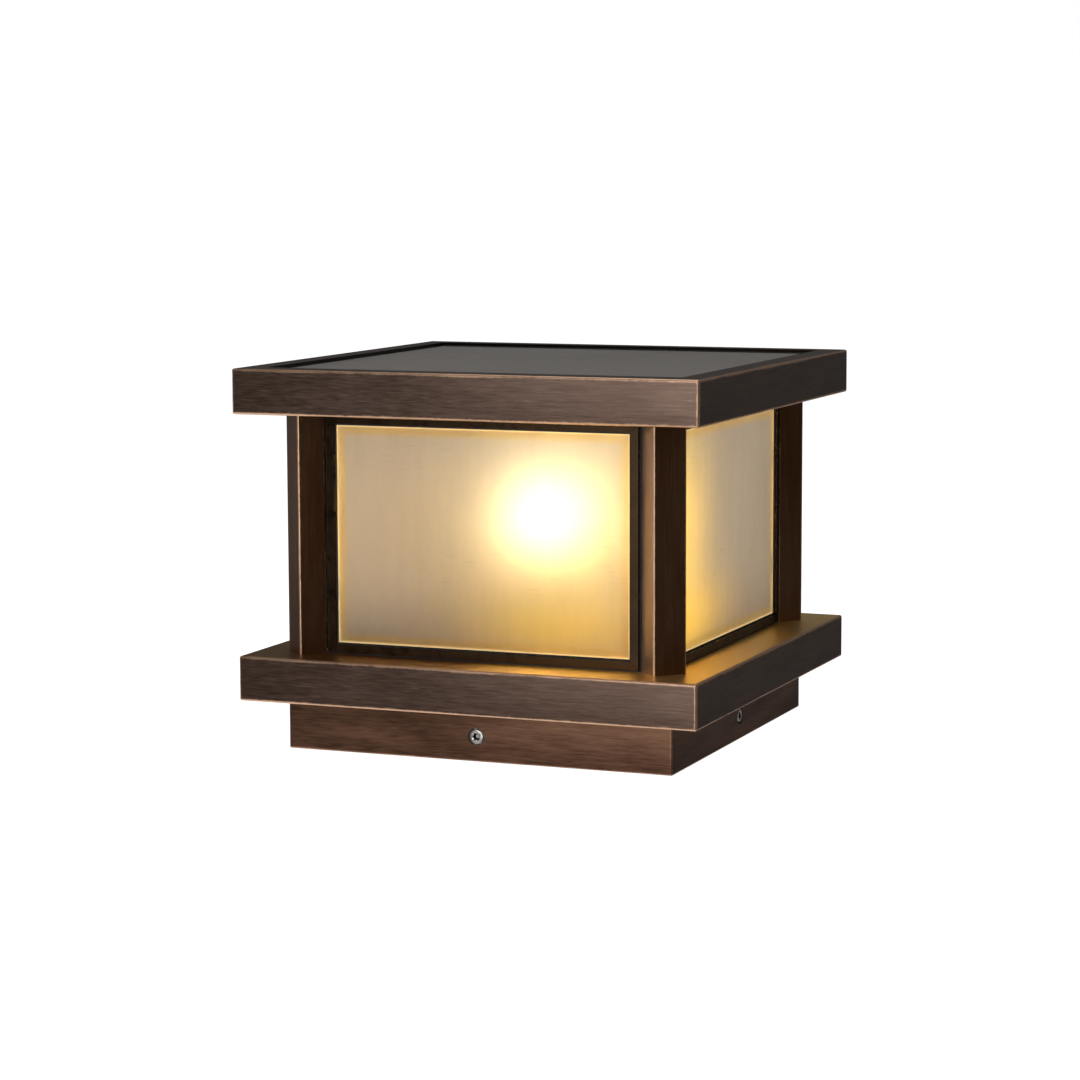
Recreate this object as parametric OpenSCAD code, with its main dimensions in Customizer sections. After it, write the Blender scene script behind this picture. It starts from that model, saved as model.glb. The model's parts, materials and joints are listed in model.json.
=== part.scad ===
// Square pillar-top lantern in folded sheet metal, for a gate post, deck post or wall pier.
// Origin: centre of the skirt's lower edge, where the lamp stands on the pillar.
// +Z is up, -Y is the front, +X is the right-hand side. Millimetres.

/* [Overall sizes] */
// Side of the square roof
roof_side = 300; // [270:1:400]
// Height of the roof's edge
roof_h = 28; // [28:0.5:50]
// How far the base tray's edge stands in from the roof's edge
base_inset = 1.5; // [0:0.5:6]
// Height of the base tray
base_h = 28; // [20:0.5:45]
// How far the skirt stands in from the roof's edge
skirt_inset = 24; // [15:0.5:30]
// Height of the skirt
skirt_h = 32; // [28:0.5:60]
// Clear height from the base tray up to the roof
lantern_h = 148.5; // [120:0.5:260]

/* [Sheet metal] */
// Thickness of the folded sheet
sheet_t = 1.5; // [1:0.1:2]
// Outer radius of the sheet's folds
bend_r = 2; // [1.8:0.1:4]
// Width of the rim folded in round the top panel
rim_w = 16; // [12:0.5:24]
// Width of the roof's lower flange, folded in under the eaves
eaves_w = 35; // [33:0.5:40]
// Width of the base tray's lower flange
tray_flange_w = 44.5; // [40:0.5:50]
// Width of the skirt's upper flange
skirt_flange_w = 18; // [12:0.5:20]
// Width of the hem folded in at the skirt's foot
skirt_hem_w = 6; // [4:0.5:8]

/* [Corner posts] */
// Width of a post's outer face
post_w = 21.6; // [16:0.2:30]
// Depth of a post towards the middle of the lamp
post_d = 18; // [16:0.2:24]
// Wall of the post's tube
post_wall = 1.2; // [0.8:0.1:2]
// Outer radius of the tube's edges
post_r = 1.2; // [0.8:0.1:2]
// From the roof's corner in to a post's outer face, along the diagonal
post_setback = 38.3; // [34:0.1:46]
// Length of the threaded plug in each end of a post
plug_h = 15; // [10:0.5:25]

/* [Windows] */
// From the roof's edge in to the front of the window frames
window_setback = 31; // [29:0.5:40]
// Gap between a window frame and the post's inner edge
window_gap = 1.1; // [0.8:0.1:3]
// Face width of the glazing bars
bar_face = 5; // [4:0.5:8]
// Thickness of the glazing bars' metal
bar_t = 1.5; // [1:0.1:2]
// Depth of the glazing bars behind the glass
bar_rear = 7.5; // [7.3:0.1:8.5]
// Open joint left at each mitre
mitre_gap = 0.1; // [0.05:0.01:0.3]
// Thickness of the glass
glass_t = 4; // [3:0.5:5]
// Thickness of the rubber between bar and glass
gasket_t = 1; // [0.6:0.1:2]
// Rubber left showing beside the bar
gasket_show = 1; // [0.5:0.1:2]
// Thickness of the weather strip under each window
foot_strip_t = 0.8; // [0.5:0.1:2]

/* [Solar panel] */
// How far the panel runs in under the rim
panel_lap = 7.5; // [5:0.5:10]
// Thickness of the panel's glass
panel_glass_t = 3; // [2:0.5:4]
// Thickness of the panel's back sheet
panel_back_t = 1; // [0.5:0.1:1.5]
// Thickness of a solar cell
cell_t = 0.3; // [0.2:0.1:0.5]
// Foam tape between rim and glass
tape_t = 1; // [0.5:0.1:2]
// Columns of cells
cell_columns = 2; // [1:1:4]
// Rows of cells
cell_rows = 6; // [2:1:8]
// Gap between cells
cell_gap = 2; // [1:0.5:6]

/* [Bulb and holder] */
// Diameter of the bulb's globe
globe_d = 45; // [40:1:60]
// Overall length of the bulb
bulb_len = 80; // [75:1:100]
// Diameter over the screw cap
cap_d = 26.1; // [25.5:0.1:26.5]
// Length of the screw cap
cap_len = 25; // [22:0.5:28]
// Height of the bulb's contact above the base tray
contact_h = 16.1; // [14:0.1:24]
// Outer diameter of the holder's barrel
holder_d = 39; // [36:0.5:46]
// Height of the holder
holder_h = 44; // [42:0.5:55]

/* [Screws] */
// Head diameter of the side screws
side_head_d = 8.5; // [7:0.5:10]
// Hole in the skirt that the side screw's head sinks into
side_hole_d = 10.6; // [10:0.1:12]
// Height of the side screws above the pillar
side_screw_z = 15.5; // [12:0.5:20]
// Thread diameter of the side screws and the post screws
m5_d = 5; // [4:0.5:6]
// Thread diameter of the roof and window screws
m4_d = 4; // [3:0.5:5]
// Radial clearance at every thread
thread_gap = 0.05; // [0.02:0.01:0.1]

/* [Pillar bracket] */
// Thickness of the bracket
bracket_t = 3; // [2:0.5:4]
// Width of the bracket's arms
arm_w = 44; // [30:1:60]
// Height of the bracket's upturned tabs
tab_h = 26; // [22:0.5:28]
// Circle that the anchor holes lie on
anchor_pcd = 140; // [100:1:170]
// Diameter of the anchor holes
anchor_d = 9; // [6:0.5:12]

/* [Electronics] */
// Diameter of a battery cell
battery_d = 14.2; // [10:0.1:14.5]
// Length of a battery cell
battery_len = 50; // [44:0.5:51]
// Number of battery cells
battery_count = 4; // [1:1:4]
// Length of the control board
board_l = 70; // [50:1:80]
// Width of the control board
board_w = 50; // [40:1:60]
// Travel of the switch's button
button_travel = 1.5; // [1:0.1:2]

/* [Hidden] */
$fn = 48;
ARC_STEPS = 4;

// Levels above the pillar
z_tray = skirt_h;
z_deck = skirt_h + base_h;
z_roof = z_deck + lantern_h;
z_head = z_roof - sheet_t;
z_top = z_roof + roof_h;
z_floor = z_roof + sheet_t;
z_glass = z_top - sheet_t - tape_t;
z_cells = z_glass - panel_glass_t;
z_back = z_cells - cell_t - panel_back_t;

// Half sides
roof_half = roof_side / 2;
base_half = roof_half - base_inset;
skirt_half = roof_half - skirt_inset;
rim_half = roof_half - rim_w;
eaves_half = roof_half - eaves_w;
head_half = eaves_half + 16;
head_open = eaves_half - 20;
head_lip_h = 8;
panel_half = rim_half + panel_lap;

// A post stands on the diagonal: distance to its outer face, and to its middle
post_out = roof_half * sqrt(2) - post_setback;
post_mid = post_out - post_d / 2;
plug_slack = 0.1;

// A window fills the space between the inner edges of two posts
window_plane = roof_half - window_setback;
window_half = (post_out - post_d - post_w / 2) / sqrt(2) - window_gap;
window_z = z_deck + foot_strip_t;
window_h = z_head - window_z;
depth_gasket = bar_t;
depth_glass = depth_gasket + gasket_t;
depth_clip = depth_glass + glass_t;
bar_depth = depth_clip + bar_rear;
pane_edge = 0.5;
clip_t = 1;
clip_foot = 4.3;
clip_h = 12;
clip_spread = 35;
strip_w = 1.5;
strip_depth = 6.5;
window_screw_x = 60;
window_screw_len = 8;
m4_head_d = 7;
m4_head_h = 2.6;
m4_slot_w = 1.2;
m4_slot_depth = 1.1;
window_screw_depth = bar_depth - m4_head_d / 2 - 0.1;
free_hole = 0.15;

// Side screws sink into threaded bushes; their tips press on the bracket's tabs
side_head_h = 5;
side_head_edge = 0.4;
side_screw_len = 10;
side_hex = 4;
side_hex_depth = 2.6;
bush_d = 14;
bush_floor = 4.5;
bush_back = skirt_half - side_head_h - bush_floor;
tip_gap = 0.3;
tab_face = skirt_half - side_head_h - side_screw_len - tip_gap;

// Rivets through the flanges of skirt and tray
rivet_d = 4;
rivet_head_d = 7.5;
rivet_head_h = 1.2;
rivet_crown_d = 5;
rivet_x = 60;
rivet_y = skirt_half - 9;

// Post screws, sunk into the tray's deck from below and into the head frame from above.
// A driver reaches the lower ones through holes in the flanges.
m5_sunk_d = 10;
m5_sunk_h = 2.8;
m5_hex = 3;
m5_hex_depth = 1.9;
post_screw_len = 13.5;
driver_r = 6;

// Roof screws, sunk into the head frame from below
roof_screw_y = eaves_half + 10.5;
roof_screw_len = 9;
m4_sunk_d = 8;
m4_sunk_h = 2;
m4_hex = 2.5;
m4_hex_depth = 1.2;
nut_h = 3.2;
nut_d = 8.1;

// Bulb and holder
bulb_z = z_deck + contact_h;
globe_z = bulb_z + bulb_len - globe_d / 2;
cap_z = bulb_z + 2.4;
collar_z = cap_z + cap_len;
globe_cut = globe_z - 14.6;
globe_cut_r = sqrt(pow(globe_d / 2, 2) - pow(14.6, 2));
globe_wall = 1.2;
holder_bore = cap_d / 2 + 1.5;
holder_foot_d = 56;
holder_foot_h = 4;
holder_floor = 6;
holder_screw_x = 23.5;
holder_screw_len = 10;
shell_t = 0.7;
shell_r = holder_bore - 0.1;
shell_z = z_deck + holder_floor;
leaf_gap = 0.3;

// The lead climbs the rear left corner behind the post, and meets the roof in a pin connector.
// Its run is measured along the diagonal, from the middle of the lamp.
lead_d = 4;
lead_out = post_out - post_d - 4.5;
lead_xy = lead_out / sqrt(2);
lead_turn = 6;
lead_turn_z = z_deck - sheet_t - 1.5;
pin_block_r = 4;
pin_flange_r = 5.5;
pin_flange_h = 1.2;
pin_block_h = 9.5;
pin_r = 0.75;
pin_len = 10;
pin_pitch = 4;
socket_w = 16;
socket_h = 11;
grommet_r = 3.2;
grommet_lip = 1;

// Tray for the electronics, on the roof's floor
etray_l = 190;
etray_w = 90;
etray_t = 2;
etray_rim = 4;
etray_y = -40;
etray_z = z_floor + sheet_t;
peg_r = 2.4;
peg_x = 85;
peg_y = 35;
battery_x = -60;
battery_pitch = 16;
board_x = 45;
board_z = etray_z + 6;
board_t = 1.6;
post_inset = 5;
bay_wall = 1.2;
wire_d = 2;
wire_gap = 0.2;

// Switch under the rear eaves
switch_x = 60;
switch_y = roof_half - 10.5;
switch_r = 6;
switch_bezel_r = 7;
switch_bezel_h = 1.5;
switch_h = 14;
switch_nut_r = 8;
switch_nut_h = 2.5;
button_r = 4;
button_gap = 0.06;
button_out = 3;
button_in = 2;

// Helpers

// Outline of a w by d rectangle with rounded corners, centred
function round_rect(w, d, r) = [
    for (q = [0:3], i = [0:ARC_STEPS])
        let (a = 90 * q + 90 * i / ARC_STEPS,
             sx = (q == 0 || q == 3) ? 1 : -1,
             sy = (q < 2) ? 1 : -1)
        [sx * (w / 2 - r) + r * cos(a), sy * (d / 2 - r) + r * sin(a)]
];

function unit(v) = v / norm(v);

// Front, right, rear and left
module on_sides() {
    for (a = [0:90:270]) rotate([0, 0, a]) children();
}

// The four diagonals
module on_corners() {
    for (a = [45:90:315]) rotate([0, 0, a]) children();
}

// A square block whose twelve edges are rounded as folded sheet is
module soft_block(side, h, r) {
    intersection() {
        linear_extrude(h) polygon(round_rect(side, side, r));
        translate([0, 0, h / 2]) rotate([90, 0, 0])
            linear_extrude(side, center = true) polygon(round_rect(side, h, r));
        translate([0, 0, h / 2]) rotate([90, 0, 90])
            linear_extrude(side, center = true) polygon(round_rect(side, h, r));
    }
}

// A square prism from z0 to z1, for hollows and openings
module well(half, z0, z1) {
    translate([-half, -half, z0]) cube([2 * half, 2 * half, z1 - z0]);
}

// A box of sheet folded in at top and bottom, with the two openings that the flanges leave
module folded_box(half, z0, h, open_top, open_low) {
    difference() {
        translate([0, 0, z0]) soft_block(2 * half, h, bend_r);
        well(half - sheet_t, z0 + sheet_t, z0 + h - sheet_t);
        if (open_top > 0) well(open_top, z0 + h - 2 * sheet_t, z0 + h + 1);
        well(open_low, z0 - 1, z0 + 2 * sheet_t);
    }
}

// A hole through level sheet
module drill(x, y, z, r) {
    translate([x, y, z - 5]) cylinder(h = 10, r = r);
}

// A round lead swept along points that lie in one plane, whose normal is given
module lead(points, d, normal) {
    sides = 8;
    last = len(points) - 1;
    across = unit(normal);
    ring_points = [
        for (k = [0:last])
            let (before = points[max(k - 1, 0)],
                 after = points[min(k + 1, last)],
                 along = unit(after - before),
                 up = cross(across, along))
            for (i = [0:sides - 1])
                let (a = 360 * (i + 0.5) / sides)
                points[k] + d / 2 * (cos(a) * across + sin(a) * up)
    ];
    walls = [
        for (k = [0:last - 1], i = [0:sides - 1])
            let (j = (i + 1) % sides)
            [k * sides + i, (k + 1) * sides + i, (k + 1) * sides + j, k * sides + j]
    ];
    start = [for (i = [0:sides - 1]) i];
    end = [for (i = [sides - 1:-1:0]) last * sides + i];
    polyhedron(ring_points, concat(walls, [start, end]), convexity = 6);
}

// Bracket on the pillar

// Section of a strap with both ends turned up
function strap_section(half, h, t, r) = concat(
    [[-half, h]],
    [for (i = [0:ARC_STEPS]) let (a = 180 + 90 * i / ARC_STEPS) [-half + r + r * cos(a), r + r * sin(a)]],
    [for (i = [0:ARC_STEPS]) let (a = 270 + 90 * i / ARC_STEPS) [half - r + r * cos(a), r + r * sin(a)]],
    [[half, h], [half - t, h], [half - t, t], [-half + t, t], [-half + t, h]]
);

module mounting_bracket() {
    hub = arm_w * 2.2;
    color("#8d8f92") difference() {
        union() {
            for (a = [0, 90]) rotate([90, 0, a])
                linear_extrude(arm_w, center = true)
                    polygon(strap_section(tab_face, tab_h, bracket_t, bracket_t));
            linear_extrude(bracket_t) polygon(round_rect(hub, hub, 8));
        }
        on_sides() translate([0, -anchor_pcd / 2, -1])
            cylinder(h = bracket_t + 2, r = anchor_d / 2);
    }
}

// Skirt and base tray

module skirt() {
    color("#4a3026") difference() {
        folded_box(skirt_half, 0, skirt_h, skirt_half - skirt_flange_w, skirt_half - skirt_hem_w);
        on_sides() translate([0, -skirt_half + sheet_t + 1, side_screw_z]) rotate([90, 0, 0])
            cylinder(h = sheet_t + 2, r = side_hole_d / 2);
        on_sides() for (x = [-rivet_x, rivet_x])
            drill(x, -rivet_y, skirt_h, rivet_d / 2 + thread_gap);
        on_corners() drill(0, -post_mid, skirt_h, driver_r);
    }
}

// Threaded bush behind each hole in the skirt, counterbored so the screw's head lies flush
module screw_bushes() {
    color("#b9b4ac") on_sides()
        translate([0, -skirt_half + sheet_t, side_screw_z]) rotate([-90, 0, 0]) difference() {
            cylinder(h = skirt_half - sheet_t - bush_back, r = bush_d / 2);
            translate([0, 0, -1]) cylinder(h = 1 + side_head_h - sheet_t, r = side_hole_d / 2);
            cylinder(h = 30, r = m5_d / 2 + thread_gap);
        }
}

module side_screw(angle) {
    color("#c8c4bd") rotate([0, 0, angle])
        translate([0, -skirt_half, side_screw_z]) rotate([-90, 0, 0]) difference() {
            union() {
                cylinder(h = side_head_edge, r1 = side_head_d / 2 - side_head_edge, r2 = side_head_d / 2);
                translate([0, 0, side_head_edge])
                    cylinder(h = side_head_h - side_head_edge, r = side_head_d / 2);
                translate([0, 0, side_head_h]) cylinder(h = side_screw_len, r = m5_d / 2);
            }
            hex_socket(side_hex, side_hex_depth);
        }
}

module base_tray() {
    color("#5a4034") difference() {
        folded_box(base_half, z_tray, base_h, 0, base_half - tray_flange_w);
        on_sides() for (x = [-rivet_x, rivet_x])
            drill(x, -rivet_y, z_tray, rivet_d / 2 + thread_gap);
        on_corners() drill(0, -post_mid, z_tray, driver_r);
        on_corners() translate([0, -post_mid, z_deck - sheet_t]) sunk_hole(m5_d, m5_sunk_d, m5_sunk_h);
        on_sides() for (x = [-window_screw_x, window_screw_x])
            drill(x, -window_plane + window_screw_depth, z_deck, m4_d / 2 + thread_gap);
        for (x = [-holder_screw_x, holder_screw_x]) drill(x, 0, z_deck, m4_d / 2 + thread_gap);
        drill(0, 0, z_deck, grommet_r + thread_gap);
        drill(-lead_xy, lead_xy, z_deck, grommet_r + thread_gap);
    }
}

module seam_rivets() {
    color("#8a8074") on_sides() for (x = [-rivet_x, rivet_x]) translate([x, -rivet_y, z_tray]) {
        translate([0, 0, -sheet_t - rivet_head_h])
            cylinder(h = rivet_head_h, r1 = rivet_crown_d / 2, r2 = rivet_head_d / 2);
        translate([0, 0, -sheet_t - rivet_head_h])
            cylinder(h = 2 * sheet_t + 2 * rivet_head_h, r = rivet_d / 2);
        translate([0, 0, sheet_t])
            cylinder(h = rivet_head_h, r1 = rivet_head_d / 2, r2 = rivet_crown_d / 2);
    }
}

// Corner posts

module post(angle) {
    color("#4e2c1a") rotate([0, 0, angle]) translate([0, -post_mid, z_deck])
        linear_extrude(z_head - z_deck) difference() {
            polygon(round_rect(post_w, post_d, post_r));
            square([post_w - 2 * post_wall, post_d - 2 * post_wall], center = true);
        }
}

// A flat-headed screw pointing up, the top of its head at the origin, with a hexagon socket
module sunk_screw(d, head_d, head_h, length, hex, hex_depth) {
    difference() {
        union() {
            cylinder(h = head_h, r1 = head_d / 2, r2 = d / 2);
            translate([0, 0, head_h]) cylinder(h = length - head_h, r = d / 2);
        }
        hex_socket(hex, hex_depth);
    }
}

// A hexagon socket from the origin upwards
module hex_socket(across, depth) {
    translate([0, 0, -1]) cylinder(h = 1 + depth, r = across / sqrt(3), $fn = 6);
}

// The hole for it, thread_gap larger all round
module sunk_hole(d, head_d, head_h) {
    cylinder(h = head_h, r1 = head_d / 2 + thread_gap, r2 = d / 2 + thread_gap);
    cylinder(h = 20, r = d / 2 + thread_gap);
}

// Both ends of every post, turned so that +Z points into the post from the sheet's outer face
module at_post_ends() {
    on_corners() translate([0, -post_mid, 0]) {
        translate([0, 0, z_deck - sheet_t]) children();
        translate([0, 0, z_roof]) mirror([0, 0, 1]) children();
    }
}

module post_plugs() {
    w = post_w - 2 * post_wall - 2 * plug_slack;
    d = post_d - 2 * post_wall - 2 * plug_slack;
    color("#9a9a98") at_post_ends() difference() {
        translate([-w / 2, -d / 2, sheet_t]) cube([w, d, plug_h]);
        sunk_hole(m5_d, m5_sunk_d, m5_sunk_h);
    }
}

module post_screws() {
    color("#b4b2ac") at_post_ends()
        sunk_screw(m5_d, m5_sunk_d, m5_sunk_h, post_screw_len, m5_hex, m5_hex_depth);
}

// Ring plate across the tops of posts and windows; a hand reaches the bulb through it
module head_frame() {
    color("#4a3428") difference() {
        union() {
            translate([0, 0, z_head]) linear_extrude(sheet_t)
                polygon(round_rect(2 * head_half, 2 * head_half, 6));
            well(head_open + sheet_t, z_roof - head_lip_h, z_roof);
        }
        well(head_open, z_roof - head_lip_h - 1, z_roof + 1);
        on_corners() translate([0, -post_mid, z_roof]) mirror([0, 0, 1])
            sunk_hole(m5_d, m5_sunk_d, m5_sunk_h);
        on_sides() translate([0, -roof_screw_y, z_head])
            sunk_hole(m4_d + 2 * free_hole, m4_sunk_d, m4_sunk_h);
        drill(-lead_xy, lead_xy, z_head, pin_block_r + thread_gap);
    }
}

// Windows

// A mitred glazing bar: lip in front, web outside, its inner side towards +Z
module glazing_bar(length) {
    low = length / 2 - mitre_gap;
    high = low - bar_face;
    difference() {
        translate([0, bar_depth, 0]) rotate([90, 0, 0]) linear_extrude(bar_depth)
            polygon([[-low, 0], [low, 0], [high, bar_face], [-high, bar_face]]);
        translate([-length, bar_t, bar_t]) cube([2 * length, bar_depth, bar_face]);
    }
}

module in_window(angle) {
    rotate([0, 0, angle]) translate([0, -window_plane, window_z]) children();
}

module window_frame(angle) {
    color("#3a332e") difference() {
        in_window(angle) {
            glazing_bar(2 * window_half);
            translate([0, 0, window_h]) rotate([0, 180, 0]) glazing_bar(2 * window_half);
            translate([-window_half, 0, window_h / 2]) rotate([0, 90, 0]) glazing_bar(window_h);
            translate([window_half, 0, window_h / 2]) rotate([0, -90, 0]) glazing_bar(window_h);
        }
        in_window(angle) for (x = [-window_screw_x, window_screw_x])
            drill(x, window_screw_depth, 0, m4_d / 2 + free_hole);
    }
}

// Glass with its front and back edges arrised
module pane(angle) {
    half = window_half - bar_t - pane_edge;
    arris = 0.4;
    color([0.95, 0.80, 0.52, 0.6]) in_window(angle)
        translate([0, depth_glass, bar_t + pane_edge])
            linear_extrude(window_h - 2 * bar_t - 2 * pane_edge) polygon([
                [-half, arris], [-half + arris, 0], [half - arris, 0], [half, arris],
                [half, glass_t - arris], [half - arris, glass_t], [-half + arris, glass_t],
                [-half, glass_t - arris]
            ]);
}

module pane_gaskets() {
    out = window_half - bar_t - 0.1;
    inner = window_half - bar_face - gasket_show;
    color("#14120f") for (a = [0:90:270]) in_window(a) difference() {
        translate([-out, depth_gasket, bar_t + 0.1])
            cube([2 * out, gasket_t, window_h - 2 * bar_t - 0.2]);
        translate([-inner, depth_gasket - 1, bar_face + gasket_show])
            cube([2 * inner, gasket_t + 2, window_h - 2 * bar_face - 2 * gasket_show]);
    }
}

// Angle clips on the stiles that press each pane forwards
module pane_clips() {
    leg = bar_rear - clip_t;
    color("#a8a5a0") for (a = [0:90:270], side = [-1, 1], row = [-1, 1])
        in_window(a) scale([side, 1, 1])
            translate([window_half - bar_t, depth_clip, window_h / 2 + row * clip_spread - clip_h / 2])
                linear_extrude(clip_h) polygon([
                    [0, 0], [0, leg], [-clip_t, leg], [-clip_t, clip_t], [-clip_foot, clip_t],
                    [-clip_foot, 0]
                ]);
}

// Rubber between the stiles and the posts, and under each window
module weather_strips() {
    color("#17140f") {
        for (a = [0:90:270], x = [-window_half - strip_w, window_half])
            in_window(a) translate([x, 2.5, -foot_strip_t])
                cube([strip_w, strip_depth, window_h + foot_strip_t]);
        for (a = [0:90:270]) in_window(a) difference() {
            union() {
                translate([-window_half, 0.5, -foot_strip_t])
                    cube([2 * window_half, bar_depth - 1, foot_strip_t]);
                translate([-window_half - strip_w, 2.5, -foot_strip_t])
                    cube([2 * (window_half + strip_w), strip_depth, foot_strip_t]);
            }
            for (x = [-window_screw_x, window_screw_x])
                drill(x, window_screw_depth, 0, m4_d / 2 + free_hole);
        }
    }
}

// A slotted cheese-headed M4 screw pointing down, the underside of its head at the origin
module cheese_screw(length) {
    difference() {
        cylinder(h = m4_head_h, r = m4_head_d / 2);
        translate([-m4_head_d, -m4_slot_w / 2, m4_head_h - m4_slot_depth])
            cube([2 * m4_head_d, m4_slot_w, m4_slot_depth + 1]);
    }
    translate([0, 0, -length]) cylinder(h = length, r = m4_d / 2);
}

// Behind the glass, down through each frame's foot into the deck
module window_screws() {
    color("#b4b2ac") for (a = [0:90:270], x = [-window_screw_x, window_screw_x])
        in_window(a) translate([x, window_screw_depth, bar_t]) cheese_screw(window_screw_len);
}

// Lamp holder and lead

module holder_body() {
    color("#1d1b1a") translate([0, 0, z_deck]) difference() {
        union() {
            cylinder(h = holder_foot_h, r = holder_foot_d / 2);
            cylinder(h = holder_h, r = holder_d / 2);
        }
        translate([0, 0, holder_floor]) cylinder(h = holder_h, r = holder_bore);
        translate([0, 0, -1]) cylinder(h = holder_floor + 2, r = grommet_r + grommet_lip + 0.5);
        for (x = [-holder_screw_x, holder_screw_x])
            translate([x, 0, -1]) cylinder(h = holder_foot_h + 2, r = m4_d / 2 + free_hole);
    }
}

// Brass shell that the bulb's cap screws into
module holder_shell() {
    color("#c9a45a") difference() {
        translate([0, 0, shell_z]) cylinder(h = holder_h - holder_floor - 3, r = shell_r);
        translate([0, 0, shell_z + 1]) cylinder(h = holder_h, r = shell_r - shell_t);
        translate([0, 0, shell_z - 1]) cylinder(h = 4, r = shell_r - 5);
    }
}

// Centre contact: a foot on the shell's floor, a stem, and the leaf that the bulb's tip presses
module holder_contact() {
    low = shell_z + 1;
    top = bulb_z - leaf_gap - 1;
    color("#d2b063") {
        translate([0, 0, low]) cylinder(h = 1, r = shell_r - shell_t - 0.2);
        translate([0, 0, low]) cylinder(h = top - low, r = 3);
        translate([0, 0, top]) cylinder(h = 1, r = 4.5);
    }
}

module holder_screws() {
    color("#b4b2ac") for (x = [-holder_screw_x, holder_screw_x])
        translate([x, 0, z_deck + holder_foot_h]) cheese_screw(holder_screw_len);
}

// From the pin block down behind the rear left post, under the deck, and up into the holder
module lamp_lead() {
    steps = 5;
    low = lead_turn_z - lead_turn;
    route = concat(
        [[lead_out, z_roof - pin_block_h], [lead_out, (z_roof + z_deck) / 2]],
        [for (i = [0:steps]) let (a = 90 * i / steps)
            [lead_out - lead_turn * (1 - cos(a)), lead_turn_z - lead_turn * sin(a)]],
        [[lead_out * 0.75, low], [lead_out * 0.5, low], [lead_out * 0.25, low]],
        [for (i = [steps:-1:0]) let (a = 90 * i / steps)
            [lead_turn * (1 - cos(a)), lead_turn_z - lead_turn * sin(a)]],
        [[0, shell_z + 1]]
    );
    color("#1a1a1a")
        lead([for (p = route) [-p[0] / sqrt(2), p[0] / sqrt(2), p[1]]], lead_d, [1, 1, 0]);
}

module lead_grommets() {
    color("#22201e") for (x = [0, lead_xy]) translate([-x, x, z_deck - sheet_t - grommet_lip])
        difference() {
            union() {
                cylinder(h = sheet_t + 2 * grommet_lip, r = grommet_r);
                cylinder(h = grommet_lip, r = grommet_r + grommet_lip);
                translate([0, 0, sheet_t + grommet_lip])
                    cylinder(h = grommet_lip, r = grommet_r + grommet_lip);
            }
            translate([0, 0, -1]) cylinder(h = 10, r = lead_d / 2 + 0.1);
        }
}

module pin_block() {
    color("#2a2a2c") translate([-lead_xy, lead_xy, z_roof - pin_block_h]) difference() {
        union() {
            cylinder(h = pin_block_h, r = pin_block_r);
            translate([0, 0, pin_block_h]) cylinder(h = pin_flange_h, r = pin_flange_r);
        }
        for (s = [-1, 1]) translate([s * pin_pitch / 2, 0, 2])
            cylinder(h = pin_block_h + 2, r = pin_r + thread_gap);
    }
}

module contact_pins() {
    color("#d2b063") for (s = [-1, 1])
        translate([-lead_xy + s * pin_pitch / 2, lead_xy, z_roof - pin_block_h + 2])
            cylinder(h = pin_block_h - 2 + pin_len, r = pin_r);
}

// Bulb

module bulb_cap() {
    color("#cfcac0") {
        translate([0, 0, bulb_z]) cylinder(h = cap_z - bulb_z, r1 = 4, r2 = cap_d / 2 - 3);
        translate([0, 0, cap_z]) cylinder(h = cap_len, r = cap_d / 2);
    }
}

module bulb_collar() {
    lip = 1;
    color("#f0ece2") translate([0, 0, collar_z]) rotate_extrude() polygon([
        [0, 0], [cap_d / 2 + 0.8, 0], [cap_d / 2 + 1.2, 4],
        [globe_cut_r - 0.4, globe_cut - collar_z - 3], [globe_cut_r, globe_cut - collar_z],
        [globe_cut_r - globe_wall - 0.2, globe_cut - collar_z],
        [globe_cut_r - globe_wall - 0.2, globe_cut - collar_z - lip], [0, globe_cut - collar_z - lip]
    ]);
}

module bulb_led_board() {
    r = globe_cut_r - globe_wall - 0.6;
    color("#eeeeea") translate([0, 0, globe_cut - 1]) {
        cylinder(h = 1.2, r = r);
        for (a = [0:60:300]) rotate([0, 0, a]) translate([r * 0.6, 0, 1.2])
            translate([-1.5, -1.5, 0]) cube([3, 3, 0.8]);
    }
}

module bulb_globe() {
    color([1, 0.93, 0.78, 0.9]) difference() {
        translate([0, 0, globe_z]) sphere(r = globe_d / 2);
        translate([0, 0, globe_z]) sphere(r = globe_d / 2 - globe_wall);
        translate([-globe_d, -globe_d, globe_cut - 2 * globe_d])
            cube([2 * globe_d, 2 * globe_d, 2 * globe_d]);
    }
}

// Roof

module roof_shell() {
    color("#5c4438") difference() {
        folded_box(roof_half, z_roof, roof_h, rim_half, eaves_half);
        on_sides() drill(0, -roof_screw_y, z_roof, m4_d / 2 + 0.8);
        drill(switch_x, switch_y, z_roof, switch_r + 0.1);
    }
}

module roof_floor() {
    half = roof_half - sheet_t - 0.5;
    color("#4a3a32") difference() {
        translate([-half, -half, z_floor]) cube([2 * half, 2 * half, sheet_t]);
        on_sides() drill(0, -roof_screw_y, z_floor, m4_d / 2 + free_hole);
        drill(switch_x, switch_y, z_floor, switch_r + 0.1);
        drill(-lead_xy, lead_xy, z_floor, pin_flange_r + 0.5);
        for (x = [-peg_x, peg_x], y = [-peg_y, peg_y])
            drill(x, etray_y + y, z_floor, peg_r + thread_gap);
    }
}

module roof_nuts() {
    color("#b4b2ac") on_sides() translate([0, -roof_screw_y, z_floor + sheet_t]) difference() {
        cylinder(h = nut_h, r = nut_d / 2, $fn = 6);
        translate([0, 0, -1]) cylinder(h = nut_h + 2, r = m4_d / 2 + thread_gap);
    }
}

module roof_screw(angle) {
    color("#c8c4bd") rotate([0, 0, angle]) translate([0, -roof_screw_y, z_head])
        sunk_screw(m4_d, m4_sunk_d, m4_sunk_h, roof_screw_len, m4_hex, m4_hex_depth);
}

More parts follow.
